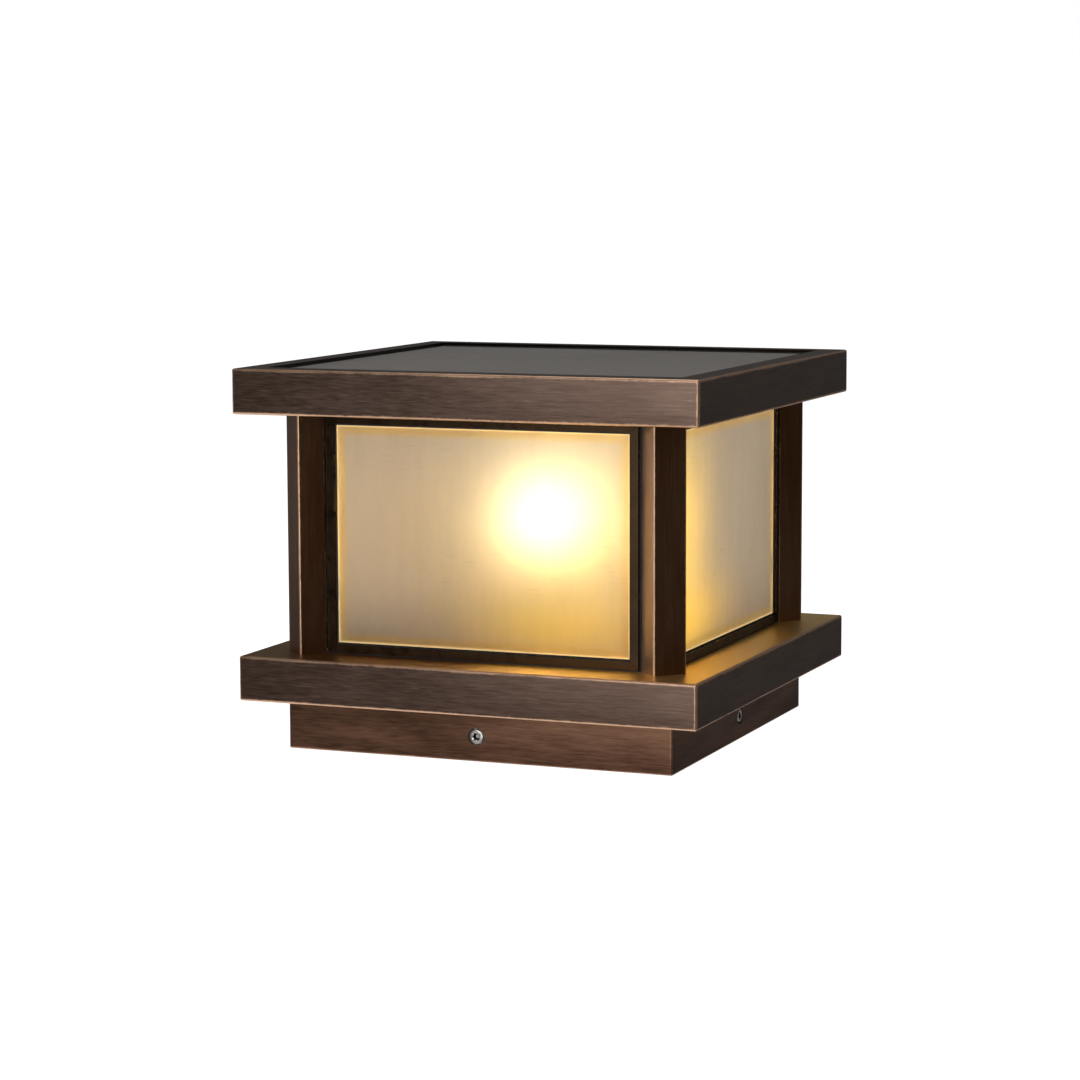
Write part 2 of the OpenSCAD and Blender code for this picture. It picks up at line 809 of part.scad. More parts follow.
module panel_tape() {
    color("#161616") difference() {
        well(panel_half - 0.5, z_glass, z_glass + tape_t);
        well(rim_half + 0.4, z_glass - 1, z_glass + tape_t + 1);
    }
}

module solar_glass() {
    color([0.25, 0.27, 0.30, 0.7]) translate([0, 0, z_cells]) linear_extrude(panel_glass_t)
        polygon(round_rect(2 * panel_half, 2 * panel_half, 2));
}

module solar_cells() {
    field = rim_half - 2;
    w = (2 * field - (cell_columns - 1) * cell_gap) / cell_columns;
    d = (2 * field - (cell_rows - 1) * cell_gap) / cell_rows;
    corner = 4;
    color("#10131c") for (i = [0:cell_columns - 1], j = [0:cell_rows - 1])
        translate([-field + i * (w + cell_gap) + w / 2, -field + j * (d + cell_gap) + d / 2,
                   z_cells - cell_t])
            linear_extrude(cell_t) polygon([
                [-w / 2 + corner, -d / 2], [w / 2 - corner, -d / 2], [w / 2, -d / 2 + corner],
                [w / 2, d / 2 - corner], [w / 2 - corner, d / 2], [-w / 2 + corner, d / 2],
                [-w / 2, d / 2 - corner], [-w / 2, -d / 2 + corner]
            ]);
}

module solar_backsheet() {
    color("#202226") translate([0, 0, z_back]) linear_extrude(panel_back_t)
        polygon(round_rect(2 * panel_half, 2 * panel_half, 2));
}

// Angle clips spot-welded inside the roof's edge, which carry the panel
module panel_clips() {
    wall = roof_half - sheet_t;
    color("#6b6258") on_sides() for (x = [-90, 0, 90])
        translate([x - 10, -wall, 0]) rotate([90, 0, 90]) linear_extrude(20) polygon([
            [0, z_back - 12], [1.5, z_back - 12], [1.5, z_back - 1.5], [14, z_back - 1.5],
            [14, z_back], [0, z_back]
        ]);
}

// Electronics in the roof

module electronics_tray() {
    bays = battery_count * battery_pitch;
    color("#2b2c2e") translate([0, etray_y, etray_z]) {
        difference() {
            translate([-etray_l / 2, -etray_w / 2, 0]) cube([etray_l, etray_w, etray_t + etray_rim]);
            translate([-etray_l / 2 + 1.5, -etray_w / 2 + 1.5, etray_t])
                cube([etray_l - 3, etray_w - 3, etray_rim + 1]);
        }
        // Ribs between the cells, and walls across their ends
        for (k = [0:battery_count])
            translate([battery_x - battery_len / 2 - 1, k * battery_pitch - (bays + bay_wall) / 2, 1])
                cube([battery_len + 2, bay_wall, etray_t + 7]);
        for (s = [-1, 1])
            translate([battery_x + s * (battery_len / 2 + 1.5) - 0.9, -(bays + bay_wall) / 2, 1])
                cube([1.8, bays + bay_wall, etray_t + battery_d - 1]);
        // Posts under the board, and snap pegs through the roof's floor
        for (x = [post_inset, board_l - post_inset], y = [post_inset, board_w - post_inset])
            translate([board_x - board_l / 2 + x, y - board_w / 2, 1])
                cylinder(h = board_z - etray_z - 1, r = 3);
        for (x = [-peg_x, peg_x], y = [-peg_y, peg_y])
            translate([x, y, -sheet_t]) cylinder(h = sheet_t + 1, r = peg_r);
    }
}

module battery_cells() {
    bays = battery_count * battery_pitch;
    color("#2f6f4f") for (k = [0:battery_count - 1])
        translate([battery_x, etray_y - bays / 2 + (k + 0.5) * battery_pitch,
                   etray_z + etray_t + battery_d / 2])
            rotate([0, (k % 2 == 0) ? 90 : -90, 0]) {
                translate([0, 0, -battery_len / 2]) cylinder(h = battery_len - 1.4, r = battery_d / 2);
                translate([0, 0, battery_len / 2 - 1.4]) cylinder(h = 1.4, r = 2.7);
            }
}

// The board, with its lead sockets, a choke, a capacitor and two chips soldered on
module control_board() {
    color("#1f5a38") translate([board_x, etray_y, board_z]) difference() {
        translate([-board_l / 2, -board_w / 2, 0]) cube([board_l, board_w, board_t]);
        for (x = [post_inset, board_l - post_inset], y = [post_inset, board_w - post_inset])
            translate([x - board_l / 2, y - board_w / 2, -1]) cylinder(h = board_t + 2, r = 1.1);
    }
    color("#3c3c40") translate([board_x, etray_y, board_z + board_t]) {
        for (x = [-25, -5, 15]) translate([x - 4, board_w / 2 - 9, 0]) cube([8, 8, 5]);
        translate([1 - board_l / 2, -4, 0]) cube([8, 8, 5]);
        translate([12, -10, 0]) cylinder(h = 6, r = 6);
        translate([-8, -14, 0]) cylinder(h = 8, r = 4);
        translate([-6, 2, 0]) cube([8, 6, 1.6]);
        translate([14, 2, 0]) cube([6, 6, 1.6]);
    }
}

module socket_block() {
    color("#2a2a2c") difference() {
        translate([-lead_xy - socket_w / 2, lead_xy - socket_w / 2, z_floor + sheet_t])
            cube([socket_w, socket_w, socket_h]);
        for (s = [-1, 1]) translate([-lead_xy + s * pin_pitch / 2, lead_xy, z_floor])
            cylinder(h = pin_len, r = pin_r + 0.1);
    }
}

// Leads from the board to the pin socket, the switch, the panel and the battery bays
module roof_leads() {
    high = board_z + board_t + 2.5;
    low = etray_z + wire_d / 2 + 0.1;
    rear = etray_y + board_w / 2 - 1 + wire_gap;
    rim = etray_y + etray_w / 2;
    bay_end = battery_x + battery_len / 2 + 2.4;
    board_end = board_x - board_l / 2 + 1;
    switch_end = switch_y - switch_r - wire_gap;
    color("#a02020") {
        // Straight back to the switch
        floor_wire([60, rear], [60, switch_end], [[60, low], [115, low], [126, low + 4]], low + 5);
        // Across to the pin socket
        floor_wire([20, rear + 0.8], [-lead_xy + socket_w / 2 + 1, lead_xy - 3],
                   [[50, low], [80, low]], low + 1);
        // Up to the back of the panel
        lead([[40, rear, high], [40, rear + 8, high], [40, rim - 5, high + 1], [40, rim, high + 3],
              [40, rim + 1, high + 5], [40, rim + 1, z_back]], wire_d, [1, 0, 0]);
        // From the battery bays to the board
        lead([[bay_end + wire_gap, etray_y, high - 3], [bay_end + 6, etray_y, high - 3],
              [board_end - 8, etray_y, high], [board_end - wire_gap, etray_y, high]], wire_d, [0, 1, 0]);
    }
}

// A wire in one upright plane between two points of the plan: over the tray's rim, down to the
// floor, through the [y, z] points given, and up to its end
module floor_wire(from, to, on_floor, end_z) {
    high = board_z + board_t + 2.5;
    over = etray_z + etray_t + etray_rim + wire_d / 2 + 0.5;
    low = etray_z + wire_d / 2 + 0.1;
    rim = etray_y + etray_w / 2;
    heights = concat(
        [[from[1], high], [from[1] + 6, high], [rim - 3, over], [rim + 1.5, over],
         [rim + 5, low + 2], [rim + 9, low]],
        on_floor, [[to[1], end_z]]
    );
    run = to - from;
    lead([for (p = heights) [from[0] + run[0] * (p[0] - from[1]) / run[1], p[0], p[1]]], wire_d,
         [run[1], -run[0], 0]);
}

module switch_body() {
    color("#1b1b1d") translate([switch_x, switch_y, z_roof]) difference() {
        union() {
            translate([0, 0, -switch_bezel_h]) cylinder(h = switch_bezel_h, r = switch_bezel_r);
            cylinder(h = switch_h, r = switch_r);
        }
        translate([0, 0, -switch_bezel_h - 1])
            cylinder(h = switch_bezel_h + 1 + button_in + button_travel + 0.3, r = button_r + button_gap);
    }
}

module switch_nut() {
    color("#3a3a3c") translate([switch_x, switch_y, z_floor + sheet_t]) difference() {
        cylinder(h = switch_nut_h, r = switch_nut_r, $fn = 6);
        translate([0, 0, -1]) cylinder(h = switch_nut_h + 2, r = switch_r + thread_gap);
    }
}

module switch_button() {
    color("#5a5a5e") translate([switch_x, switch_y, z_roof - switch_bezel_h - button_out])
        cylinder(h = button_out + switch_bezel_h + button_in, r = button_r);
}

mounting_bracket();
skirt();
screw_bushes();
base_tray();
seam_rivets();
post(45);  // post_front_right
post(135);  // post_rear_right
post(225);  // post_rear_left
post(315);  // post_front_left
post_plugs();
post_screws();
head_frame();
window_frame(0);  // window_frame_front
window_frame(90);  // window_frame_right
window_frame(180);  // window_frame_rear
window_frame(270);  // window_frame_left
pane(0);  // pane_front
pane(90);  // pane_right
pane(180);  // pane_rear
pane(270);  // pane_left
pane_gaskets();
pane_clips();
weather_strips();
window_screws();
holder_body();
holder_shell();
holder_contact();
holder_screws();
lamp_lead();
lead_grommets();
pin_block();
contact_pins();
bulb_cap();
bulb_collar();
bulb_led_board();
bulb_globe();
side_screw(0);  // side_screw_front
side_screw(90);  // side_screw_right
side_screw(180);  // side_screw_rear
side_screw(270);  // side_screw_left
roof_shell();
panel_tape();
solar_glass();
solar_cells();
solar_backsheet();
panel_clips();
roof_floor();
roof_nuts();
roof_screw(0);  // roof_screw_front
roof_screw(90);  // roof_screw_right
roof_screw(180);  // roof_screw_rear
roof_screw(270);  // roof_screw_left
electronics_tray();
battery_cells();
control_board();
socket_block();
roof_leads();
switch_body();
switch_nut();
switch_button();
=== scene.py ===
# %% [markdown]
# # Pillar lantern in brushed bronze, with amber windows and a solar roof
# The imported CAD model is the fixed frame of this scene. Every piece that is shown here either is a
# smoothed copy of a CAD piece or is worked out with numpy in the same place, and it rides on the
# body that carries it, so the lamp still lifts apart.

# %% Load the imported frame
import json
import math

import bmesh
import bpy
import numpy as np
from mathutils import Matrix, Vector


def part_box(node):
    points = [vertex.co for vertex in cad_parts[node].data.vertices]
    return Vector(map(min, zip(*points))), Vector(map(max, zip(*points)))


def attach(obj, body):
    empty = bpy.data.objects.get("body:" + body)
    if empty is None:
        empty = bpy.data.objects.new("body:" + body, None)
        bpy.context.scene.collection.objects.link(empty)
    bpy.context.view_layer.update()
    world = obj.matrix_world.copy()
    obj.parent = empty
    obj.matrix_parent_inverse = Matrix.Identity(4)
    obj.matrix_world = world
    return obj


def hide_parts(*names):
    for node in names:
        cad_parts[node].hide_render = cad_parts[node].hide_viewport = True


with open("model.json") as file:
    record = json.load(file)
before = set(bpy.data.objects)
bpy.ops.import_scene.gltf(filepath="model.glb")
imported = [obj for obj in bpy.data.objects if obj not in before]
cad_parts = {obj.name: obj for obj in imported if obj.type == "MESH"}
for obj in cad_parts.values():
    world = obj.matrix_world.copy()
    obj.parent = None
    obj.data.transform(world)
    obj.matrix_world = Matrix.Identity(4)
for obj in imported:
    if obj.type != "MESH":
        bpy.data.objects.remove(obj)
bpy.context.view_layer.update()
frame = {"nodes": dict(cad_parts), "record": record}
MM = 0.001

# %% [markdown]
# ## Camera
# The lantern was seen from a little above and from its right, with a long lens. A camera can be set
# by eye, but then every edge is a little off. Here the lens and the camera's place come from a fit
# of a perspective camera to twenty corners of the lamp, in units of the roof's side. A long lens
# far away keeps the upright edges almost parallel.

# %% Camera at the fitted place
ROOF_SIDE = 0.300
SENSOR = 36.0
PICTURE = 1080
FOCAL_PX = 3129.06
AZIMUTH, ELEVATION, ROLL = math.radians(21.8824), math.radians(6.9999), -0.0033
DISTANCE, TARGET_Z = 6.6577, 0.3
MOVE_RIGHT, MOVE_DOWN = 0.0271, 0.1018


def camera_place():
    """Axes and place of the camera: eye = target + distance x the backward direction, the picture's
    axes turned by the roll, and the eye moved along them so that the target leaves the centre."""
    back = np.array([math.sin(AZIMUTH) * math.cos(ELEVATION),
                     -math.cos(AZIMUTH) * math.cos(ELEVATION), math.sin(ELEVATION)])
    ahead = -back
    right = np.cross(ahead, [0, 0, 1])
    right /= np.linalg.norm(right)
    down = np.cross(ahead, right)
    c, s = math.cos(ROLL), math.sin(ROLL)
    right, down = c * right - s * down, s * right + c * down
    eye = np.array([0, 0, TARGET_Z]) + DISTANCE * back - MOVE_RIGHT * right - MOVE_DOWN * down
    return right, down, ahead, eye * ROOF_SIDE


right, down, ahead, eye = camera_place()
camera_data = bpy.data.cameras.new("camera")
camera_data.sensor_width = SENSOR
camera_data.lens = FOCAL_PX / PICTURE * SENSOR
camera_data.clip_start, camera_data.clip_end = 0.05, 60
camera = bpy.data.objects.new("camera", camera_data)
bpy.context.scene.collection.objects.link(camera)
camera.matrix_world = Matrix([[*row] for row in np.array(
    [[*right, 0], [*-down, 0], [*-ahead, 0], [*eye, 1]]).T.tolist()])
bpy.context.scene.camera = camera
print("lens %.1f mm, eye at %s m" % (camera_data.lens, np.round(eye, 3)))

# %% [markdown]
# ## Node helpers
# A material is a small network. It can be wired by hand in the shader editor, or in code with three
# lines for every node. These helpers add a node, fill its inputs and hand back its output in one
# line, so that each finish below reads like a formula.


# %% Helpers: nodes and their inputs
def fill(tree, sockets, values):
    """Links or sets each named socket. A colour is given as three numbers; its alpha is 1."""
    for key, value in values.items():
        if isinstance(value, bpy.types.NodeSocket):
            tree.links.new(value, sockets[key])
        elif sockets[key].type == "RGBA":
            sockets[key].default_value = (*value, 1.0)
        else:
            sockets[key].default_value = value


def put(tree, kind, inputs=None, **settings):
    """Adds a node, sets its settings and fills its inputs."""
    node = tree.nodes.new(kind)
    for key, value in settings.items():
        setattr(node, key, value)
    fill(tree, node.inputs, inputs or {})
    return node


print("node helpers: fill, put")


# %% Helpers: numbers, vectors, patterns and mixes
def maths(tree, operation, *values):
    """One Math node; returns its output."""
    return put(tree, "ShaderNodeMath", dict(enumerate(values)), operation=operation).outputs[0]


def times(tree, first, second):
    """The product of two numbers."""
    return maths(tree, "MULTIPLY", first, second)


def vectors(tree, operation, inputs):
    """One Vector Math node; returns its output."""
    return put(tree, "ShaderNodeVectorMath", inputs, operation=operation).outputs[0]


def split(tree, vector):
    """The vector's X, Y and Z."""
    return put(tree, "ShaderNodeSeparateXYZ", {0: vector}).outputs


def noise(tree, vector, scale, detail=2.0, roughness=0.5, distortion=0.0):
    """One Noise Texture; returns its number."""
    return put(tree, "ShaderNodeTexNoise",
               {"Vector": vector, "Scale": scale, "Detail": detail, "Roughness": roughness,
                "Distortion": distortion}).outputs[0]


def mapped(tree, vector, kind="POINT", **values):
    """The vector moved, turned or stretched by a Mapping node."""
    return put(tree, "ShaderNodeMapping", {"Vector": vector, **values}, vector_type=kind).outputs[0]


def blended(tree, factor, low, high):
    """Colour mix: low where factor is 0, high where it is 1."""
    return put(tree, "ShaderNodeMix", {0: factor, 6: low, 7: high}, data_type="RGBA").outputs[2]


def between(tree, value, low, high, to_low=0.0, to_high=1.0, smooth=True):
    """Maps value from low..high to to_low..to_high, clamped, with a smooth step if asked."""
    return put(tree, "ShaderNodeMapRange", {0: value, 1: low, 2: high, 3: to_low, 4: to_high},
               interpolation_type="SMOOTHSTEP" if smooth else "LINEAR").outputs[0]


print("node shorthands: maths, times, vectors, split, noise, mapped, blended, between")

# %% [markdown]
# ## Shared effects
# Five effects come back in many finishes: the fine lines of a brushing wheel, the bright metal that
# handling brings out along every edge, the clouds in a patina, the pebbled face of moulded plastic
# and rubber, and the streaks in cast glass. Pictures of them could be wrapped round each piece, but
# they would blur close by and break at the corners. Here each is one group of nodes, worked out in
# the lamp's own space, and every finish places it with its own values.


# %% Helpers: groups
def new_group(name, inputs, outputs):
    """A shader node group. inputs are (name, type, default) and outputs the names of numbers.
    Returns the tree, the sockets that it is given and the sockets that it has to fill."""
    tree = bpy.data.node_groups.new(name, "ShaderNodeTree")
    for label, kind, default in inputs:
        socket = tree.interface.new_socket(label, in_out="INPUT", socket_type="NodeSocket" + kind)
        if default is not None:
            socket.default_value = default
    for label in outputs:
        tree.interface.new_socket(label, in_out="OUTPUT", socket_type="NodeSocketFloat")
    return tree, tree.nodes.new("NodeGroupInput").outputs, tree.nodes.new("NodeGroupOutput").inputs


def close_group(tree, ends, results):
    """Links the results to the group's outputs and says how large the group is."""
    fill(tree, ends, results)
    print("group %s: %d nodes, gives %s" % (tree.name, len(tree.nodes), ", ".join(results)))


def use(tree, group, inputs):
    """Places a group with the given values; returns its outputs."""
    return put(tree, "ShaderNodeGroup", inputs, node_tree=bpy.data.node_groups[group]).outputs


PLACE = ("Vector", "Vector", None)
print("every effect starts from the input", PLACE[0])


# %% Group: brushed lines
def make_brushed_lines():
    """Noise stretched along the brush: a coarse and a fine layer. Tone is their mean, Ridge the
    fine layer alone, Scratch the rare light lines. A Mapping node before it does the stretching."""
    tree, given, ends = new_group("Brushed Lines", [PLACE], ("Tone", "Ridge", "Scratch"))
    coarse = noise(tree, given[0], 1.0, 3.0, 0.6)
    fine = noise(tree, given[0], 3.1)
    rare = noise(tree, given[0], 1.7, 4.0, 0.75)
    mean = times(tree, maths(tree, "ADD", coarse, fine), 0.5)
    close_group(tree, ends, {"Tone": between(tree, mean, 0.34, 0.66, smooth=False), "Ridge": fine,
                             "Scratch": between(tree, rare, 0.60, 0.74)})


make_brushed_lines()


# %% Group: worn edges of a box
def make_edge_wear():
    """Of a point in a box the three distances to the faces are taken. The smallest is the face it
    lies on, the middle one is how far the nearest edge is. Mask falls smoothly from 1 at 0.35
    of the width to 0 at the width, which is broken up by two noises."""
    tree, given, ends = new_group(
        "Edge Wear", [PLACE, ("Half Size", "Vector", (0.1, 0.1, 0.1)), ("Width", "Float", 0.002),
                      ("Break Up", "Float", 0.5)], ("Mask",))
    from_centre = vectors(tree, "ABSOLUTE", {0: given["Vector"]})
    x, y, z = split(tree, vectors(tree, "SUBTRACT", {0: given["Half Size"], 1: from_centre}))
    middle = maths(tree, "MAXIMUM", maths(tree, "MINIMUM", x, y),
                   maths(tree, "MINIMUM", maths(tree, "MAXIMUM", x, y), z))
    quick = noise(tree, given["Vector"], 160.0, 4.0, 0.7)
    slow = noise(tree, given["Vector"], 22.0)
    uneven = maths(tree, "SUBTRACT", maths(tree, "ADD", quick, slow), 1.0)
    ragged = maths(tree, "MULTIPLY_ADD", uneven, times(tree, given["Break Up"], 2.0), 1.0)
    reach = times(tree, given["Width"], ragged)
    close_group(tree, ends, {"Mask": between(tree, middle, reach, times(tree, reach, 0.35))})


make_edge_wear()


# %% Group: clouds and specks of a patina
def make_patina():
    """Cloud is a wide noise, and Speck one sixty times finer that is cut to rare specks."""
    tree, given, ends = new_group("Patina Clouds", [PLACE, ("Scale", "Float", 12.0)],
                                  ("Cloud", "Speck"))
    wide = noise(tree, given[0], given[1], 5.0, 0.55)
    small = noise(tree, given[0], times(tree, given[1], 60.0))
    close_group(tree, ends, {"Cloud": between(tree, wide, 0.3, 0.7),
                             "Speck": between(tree, small, 0.68, 0.78)})


make_patina()


# %% Group: moulded grain
def make_moulded_grain():
    """A cell pattern of the given pitch, softened by noise: the pebbled face of a mould."""
    tree, given, ends = new_group("Moulded Grain", [PLACE, ("Scale", "Float", 900.0)],
                                  ("Tone", "Height"))
    cells = put(tree, "ShaderNodeTexVoronoi", {"Vector": given[0], "Scale": given[1]}).outputs[0]
    soft = noise(tree, given[0], times(tree, given[1], 0.05), 4.0)
    close_group(tree, ends, {"Tone": between(tree, soft, 0.3, 0.7),
                             "Height": maths(tree, "MULTIPLY_ADD", cells, 0.6, soft)})


make_moulded_grain()


# %% Group: streaks of cast glass
def make_cast_streaks():
    """Stretched noises. Height mixes fine upright and level threads and is the relief. Tone runs
    from 0 to 1 in long upright streaks. Marks are rare short level lines, and come in patches.
    X and Z of the vector run across the pane."""
    tree, given, ends = new_group("Cast Streaks", [PLACE], ("Height", "Tone", "Marks"))

    def streaks(x_scale, z_scale, detail):
        stretched = vectors(tree, "MULTIPLY", {0: given[0], 1: (x_scale, 1.0, z_scale)})
        return noise(tree, stretched, 1.0, detail, 0.6, 0.2)

    threads = maths(tree, "ADD", streaks(900.0, 110.0, 2.0), streaks(110.0, 900.0, 2.0))
    patches = between(tree, streaks(18.0, 30.0, 2.0), 0.45, 0.65)
    lines = between(tree, streaks(70.0, 620.0, 3.0), 0.56, 0.70)
    close_group(tree, ends, {"Height": times(tree, threads, 0.5),
                             "Tone": between(tree, streaks(80.0, 16.0, 4.0), 0.32, 0.68),
                             "Marks": times(tree, patches, lines)})


make_cast_streaks()

# %% [markdown]
# ## Bronze
# Antique bronze sheet is darkened chemically and then brushed, so thin light lines run through a
# dark ground, along the sheet's length, and every fold and edge shines copper where the wheel cut
# deepest. It could be painted on each piece by hand. One recipe is better here: each piece gives
# its centre, half size and turn, so that the wear follows its own edges, and the stretch of the
# brush lines.


# %% Helpers: how every finish starts and ends
def start_material(name, **shader):
    """A material with a Principled BSDF, whose constant inputs are set on its own sockets."""
    material = bpy.data.materials.new(name)
    material.use_nodes = True
    tree = material.node_tree
    tree.nodes.clear()
    body = put(tree, "ShaderNodeBsdfPrincipled", shader)
    output = tree.nodes.new("ShaderNodeOutputMaterial")
    tree.links.new(body.outputs[0], output.inputs[0])
    place = tree.nodes.new("ShaderNodeTexCoord").outputs["Object"]
    return material, tree, body, place


def surface(tree, body, colour, rough, height=None, strength=0.3, depth=0.03 * MM):
    """Links the colour and roughness, and the relief through a bump of the given depth."""
    fill(tree, body.inputs, {"Base Color": colour, "Roughness": rough})
    if height is not None:
        bump = put(tree, "ShaderNodeBump", {"Height": height, "Strength": strength,
                                            "Distance": depth})
        fill(tree, body.inputs, {"Normal": bump.outputs[0]})


def on_piece(tree, place, centre, turn):
    """Coordinates from the piece's centre, turned with it."""
    return mapped(tree, place, "TEXTURE", Location=centre, Rotation=(0, 0, turn))


def centre_and_half(node):
    """Centre and half size of a CAD node's box."""
    lo, hi = (Vector(corner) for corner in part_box(node))
    return tuple((lo + hi) / 2), tuple((hi - lo) / 2)


print("roof's half size:", np.round(centre_and_half("roof_shell")[1], 4))

# %% Bronze: its colours and the brush
DARK_BRONZE, MID_BRONZE = (0.105, 0.062, 0.044), (0.275, 0.182, 0.142)
# Paler tones of one post face, painted as a highlight
PAINTED_LIT_LOW, PAINTED_LIT_HIGH = (0.46, 0.31, 0.25), (0.68, 0.50, 0.43)
BRIGHT_COPPER, SCRATCH_TONE = (0.85, 0.54, 0.36), (0.50, 0.36, 0.30)
# Specks' tone, and the black painted as shade inside the roof's rim
SPECK_TONE, PAINTED_SHADE_BLACK = (0.03, 0.022, 0.018), (0.012, 0.009, 0.007)
# Lines for each metre along X, Y and Z, and how the clouds are drawn out along and across them
ALONG_LEVEL, ALONG_UPRIGHT, ROLLED = (34.0, 34.0, 700.0), (700.0, 700.0, 16.0), (40, 40, 40)
CLOUD_ALONG, CLOUD_ACROSS = 0.5, 2.6
BREAK_UP = 0.6
# On the tray, level faces are painted golden right of the first X and darker left of the second:
# a painted reflection of the glowing windows, brightest on the bulb's side
GLOW_REFLECTION_FROM, GLOW_REFLECTION_GONE = 45 * MM, -20 * MM
# The normal's Z between which a face goes over from upright to level
LOOKS_UP = (0.6, 0.95)
print("bronze from", DARK_BRONZE, "to", MID_BRONZE, "and", BRIGHT_COPPER, "at worn edges")


def brushed(tree, local, half, stretch, wear):
    """The shared effects on a piece: brush lines, clouds drawn out along them, and worn edges."""
    drawn_out = tuple(CLOUD_ALONG if scale < 50 else CLOUD_ACROSS for scale in stretch)
    lines = use(tree, "Brushed Lines", {"Vector": mapped(tree, local, Scale=stretch)})
    clouds = use(tree, "Patina Clouds", {"Vector": mapped(tree, local, Scale=drawn_out),
                                         "Scale": 16.0})
    worn = use(tree, "Edge Wear", {"Vector": local, "Half Size": half, "Width": wear,
                                   "Break Up": BREAK_UP})
    return lines, clouds, worn["Mask"]


def facing(tree):
    """Three masks from the surface's normal: upwards, level (up or down), and upright."""
    up = split(tree, tree.nodes.new("ShaderNodeNewGeometry").outputs["Normal"])[2]
    level = between(tree, maths(tree, "ABSOLUTE", up), *LOOKS_UP)
    return between(tree, up, *LOOKS_UP), level, maths(tree, "SUBTRACT", 1.0, level)


# %% Bronze, with its values for one piece
def bronze(name, centre, half, turn=0.0, stretch=ALONG_LEVEL, wear=2.0 * MM, polish=0.30,
           level_polish=None, dark=DARK_BRONZE, mid=MID_BRONZE, lines_show=0.65,
           level_ground_and_reflection=DARK_BRONZE, level_reflection_fade=None, groove=0.25, shaded_opening=None, painted_lit_face=None,
           scratches=0.35):
    """Brushed bronze for one piece. level_polish, if given, is the roughness of its level faces,
    which the wheel doesn't reach and which stay smooth. Faces that look up have a ground of their
    own, going over to a second one towards the left; on the tray these are a painted reflection of
    the glowing windows, golden on the bulb's side. The opening's half width, if given, marks an
    opening that is painted black, a painted shade on its inner walls. The lit face's -X, if given,
    is where a face begins that is painted paler, a painted highlight.
    scratches is how much the rare light lines show."""
    material, tree, body, place = start_material(name, Metallic=1.0)
    local = on_piece(tree, place, centre, turn)
    lines, clouds, worn = brushed(tree, local, half, stretch, wear)
    tone = maths(tree, "MULTIPLY_ADD", clouds["Cloud"], 1.0 - lines_show,
                 times(tree, lines["Tone"], lines_show))
    rough = between(tree, lines["Ridge"], 0.3, 0.7, polish - 0.05, polish + 0.09)
    height, scratch = lines["Ridge"], lines["Scratch"]
    ground = blended(tree, tone, dark, mid)
    x = split(tree, local)[0]
    # One face painted paler: a painted highlight
    if painted_lit_face is not None:
        pale = blended(tree, tone, PAINTED_LIT_LOW, PAINTED_LIT_HIGH)
        beyond = between(tree, x, 0.4 * MM - painted_lit_face, 0.1 * MM - painted_lit_face)
        ground = blended(tree, beyond, ground, pale)
    if level_polish is not None:
        upwards, level, upright = facing(tree)
        smooth = between(tree, clouds["Cloud"], 0.0, 1.0, level_polish, level_polish + 0.05)
        rough = maths(tree, "ADD", times(tree, rough, upright), times(tree, smooth, level))
        height, scratch = times(tree, height, upright), times(tree, scratch, upright)
        # The tray's level colours are a painted reflection of the windows' glow, golden on the right
        dull = between(tree, x, GLOW_REFLECTION_FROM, GLOW_REFLECTION_GONE)
        flat = blended(tree, dull, level_ground_and_reflection, level_reflection_fade or level_ground_and_reflection)
        ground = blended(tree, upwards, ground, flat)
    ground = blended(tree, times(tree, scratch, scratches), ground, SCRATCH_TONE)
    ground = blended(tree, times(tree, clouds["Speck"], 0.5), ground, SPECK_TONE)
    ground = blended(tree, worn, ground, BRIGHT_COPPER)
    # Black painted inside the opening's edge: painted shade on the recess's wall and the sheet
    # inside
    if shaded_opening is not None:
        x, y, _ = split(tree, vectors(tree, "ABSOLUTE", {0: local}))
        inside = between(tree, maths(tree, "MAXIMUM", x, y), shaded_opening + 0.5 * MM,
                         shaded_opening + 0.2 * MM)
        ground = blended(tree, inside, ground, PAINTED_SHADE_BLACK)
    surface(tree, body, ground, rough, height, groove, 0.06 * MM)
    return material


print("brush lines for each metre:", ALONG_LEVEL, "on sheet and", ALONG_UPRIGHT, "on posts")

# %% Bronze of the folded sheet
SHEET = {
    # Inside its rim the roof is painted black: painted shade on the recess's wall and what lies
    # inside
    "roof_shell": {"polish": 0.33, "level_polish": 0.30, "dark": (0.092, 0.056, 0.041),
                   "mid": (0.245, 0.165, 0.130), "shaded_opening": 0.134},
    # The tray's level colours are a painted reflection of the glowing windows
    "base_tray": {"polish": 0.34, "level_polish": 0.36, "level_ground_and_reflection": (1.0, 0.69, 0.27),
                  "level_reflection_fade": (0.33, 0.175, 0.066)},
    "skirt": {"polish": 0.36, "level_polish": 0.30, "dark": (0.090, 0.040, 0.024),
              "mid": (0.420, 0.222, 0.138), "lines_show": 0.45, "wear": 0.9 * MM},
    "head_frame": {"polish": 0.34, "level_polish": 0.30},
}
FINISH = {}
for node, look in SHEET.items():
    centre, half = centre_and_half(node)
    FINISH[node] = bronze("bronze_" + node, centre, half, **look)
    print("bronze of", node, "centre", np.round(centre, 4), "half size", np.round(half, 4))

# %% [markdown]
# ### Bronze of the posts and glazing bars
# A post is turned 45 degrees, so its finish is turned with it and the brush runs upwards. One face
# of two posts is painted much paler than the rest, a painted highlight. The glazing bars are a
# darker, plainer bronze, with no worn edge. They could share the sheet's finish, but the photo
# shows each of them in a tone of its own, so the same recipe gets other values.

